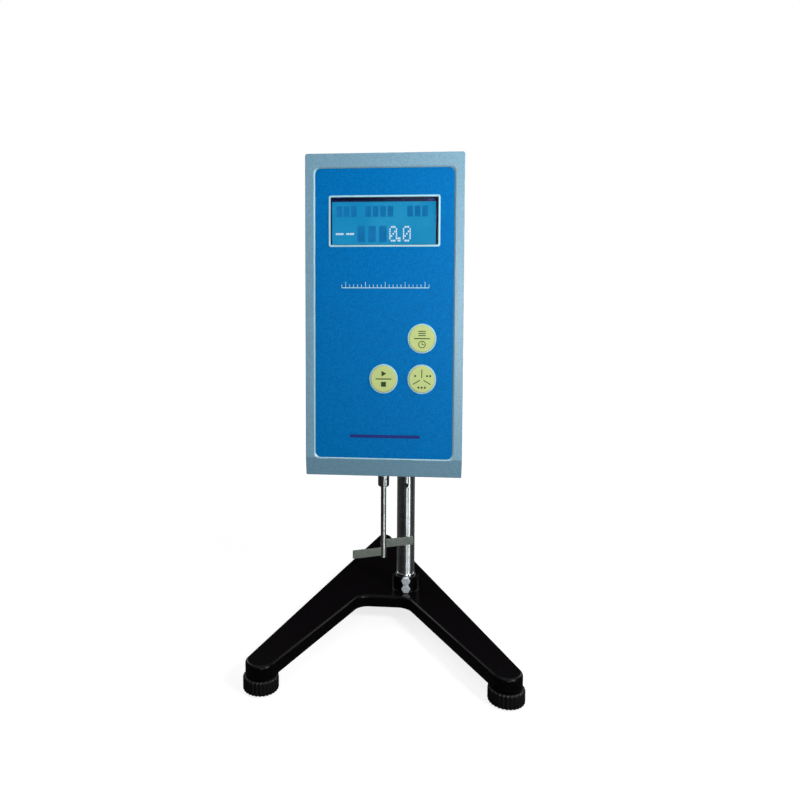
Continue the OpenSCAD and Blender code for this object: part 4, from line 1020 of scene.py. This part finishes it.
# %% Floor
GLOW_SHARE, HUSH_GLOSSY, HUSH_DULL = 0.5, 0.92, 0.5
floor_finish, shader = new_finish("white studio floor", "#c4c4c4", 0.9, Specular_IOR_Level=0.05)
rays = add(floor_finish, "LightPath")
coords = add(floor_finish, "TexCoord")
away = add(floor_finish, "VectorMath", links={0: coords.outputs["Object"]}, operation="LENGTH")
strength = add(floor_finish, "MapRange",
               {"From Min": 0.25, "From Max": 1.4, "To Min": 1.6, "To Max": 1.9},
               {"Value": away.outputs["Value"]})
glow = add(floor_finish, "Emission", {"Color": (1, 1, 1, 1)},
           {"Strength": strength.outputs["Result"]})
share = add(floor_finish, "Math", {1: GLOW_SHARE}, {0: rays.outputs["Is Camera Ray"]},
            operation="MULTIPLY")
lit = add(floor_finish, "MixShader",
          links={0: share.outputs[0], 1: shader.outputs[0], 2: glow.outputs[0]})
dull = add(floor_finish, "Math", {1: HUSH_DULL}, {0: rays.outputs["Is Diffuse Ray"]},
           operation="MULTIPLY")
hush = add(floor_finish, "Math", {1: HUSH_GLOSSY},
           {0: rays.outputs["Is Glossy Ray"], 2: dull.outputs[0]}, operation="MULTIPLY_ADD")
dark = add(floor_finish, "Emission", {"Strength": 0.0})
blend = add(floor_finish, "MixShader",
            links={0: hush.outputs[0], 1: lit.outputs[0], 2: dark.outputs[0]})
output = floor_finish.node_tree.nodes["Material Output"]
floor_finish.node_tree.links.new(blend.outputs[0], output.inputs["Surface"])


def studio_piece(name, drawn, finish):
    """Makes a piece of the studio from a bmesh that is drawn in metres."""
    mesh = bpy.data.meshes.new(name)
    drawn.to_mesh(mesh)
    drawn.free()
    mesh.materials.append(finish)
    piece = bpy.data.objects.new(name, mesh)
    bpy.context.scene.collection.objects.link(piece)
    return piece


sheet = bmesh.new()
bmesh.ops.create_grid(sheet, x_segments=1, y_segments=1, size=12)
floor = studio_piece("floor", sheet, floor_finish)
print("floor ready")

# %% [markdown]
# A photographer hangs black card round polished metal, because a bar that mirrors nothing but
# white has no shape. The card here is a wall all round, a good two metres high, that only mirrors
# and the clear window see. It darkens the sides of the column and keeps the sky's white out of the
# back of the display's window.

# %% Black card
WALL_R, WALL_H, WALL_LOW = 2.6, 2.2, 0.02
card_finish, shader = new_finish("black studio card", "#0c0c0c", 0.5, Specular_IOR_Level=0.0)
wall = bmesh.new()
bmesh.ops.create_cone(wall, cap_ends=False, segments=48, radius1=WALL_R, radius2=WALL_R,
                      depth=WALL_H)
bmesh.ops.translate(wall, verts=wall.verts[:], vec=(0, 0, WALL_LOW + WALL_H / 2))
card = studio_piece("card_wall", wall, card_finish)
card.visible_camera = False
card.visible_diffuse = False
card.visible_shadow = False
card.visible_volume_scatter = False
bpy.context.scene.view_settings.view_transform = "Standard"
print("studio ready")
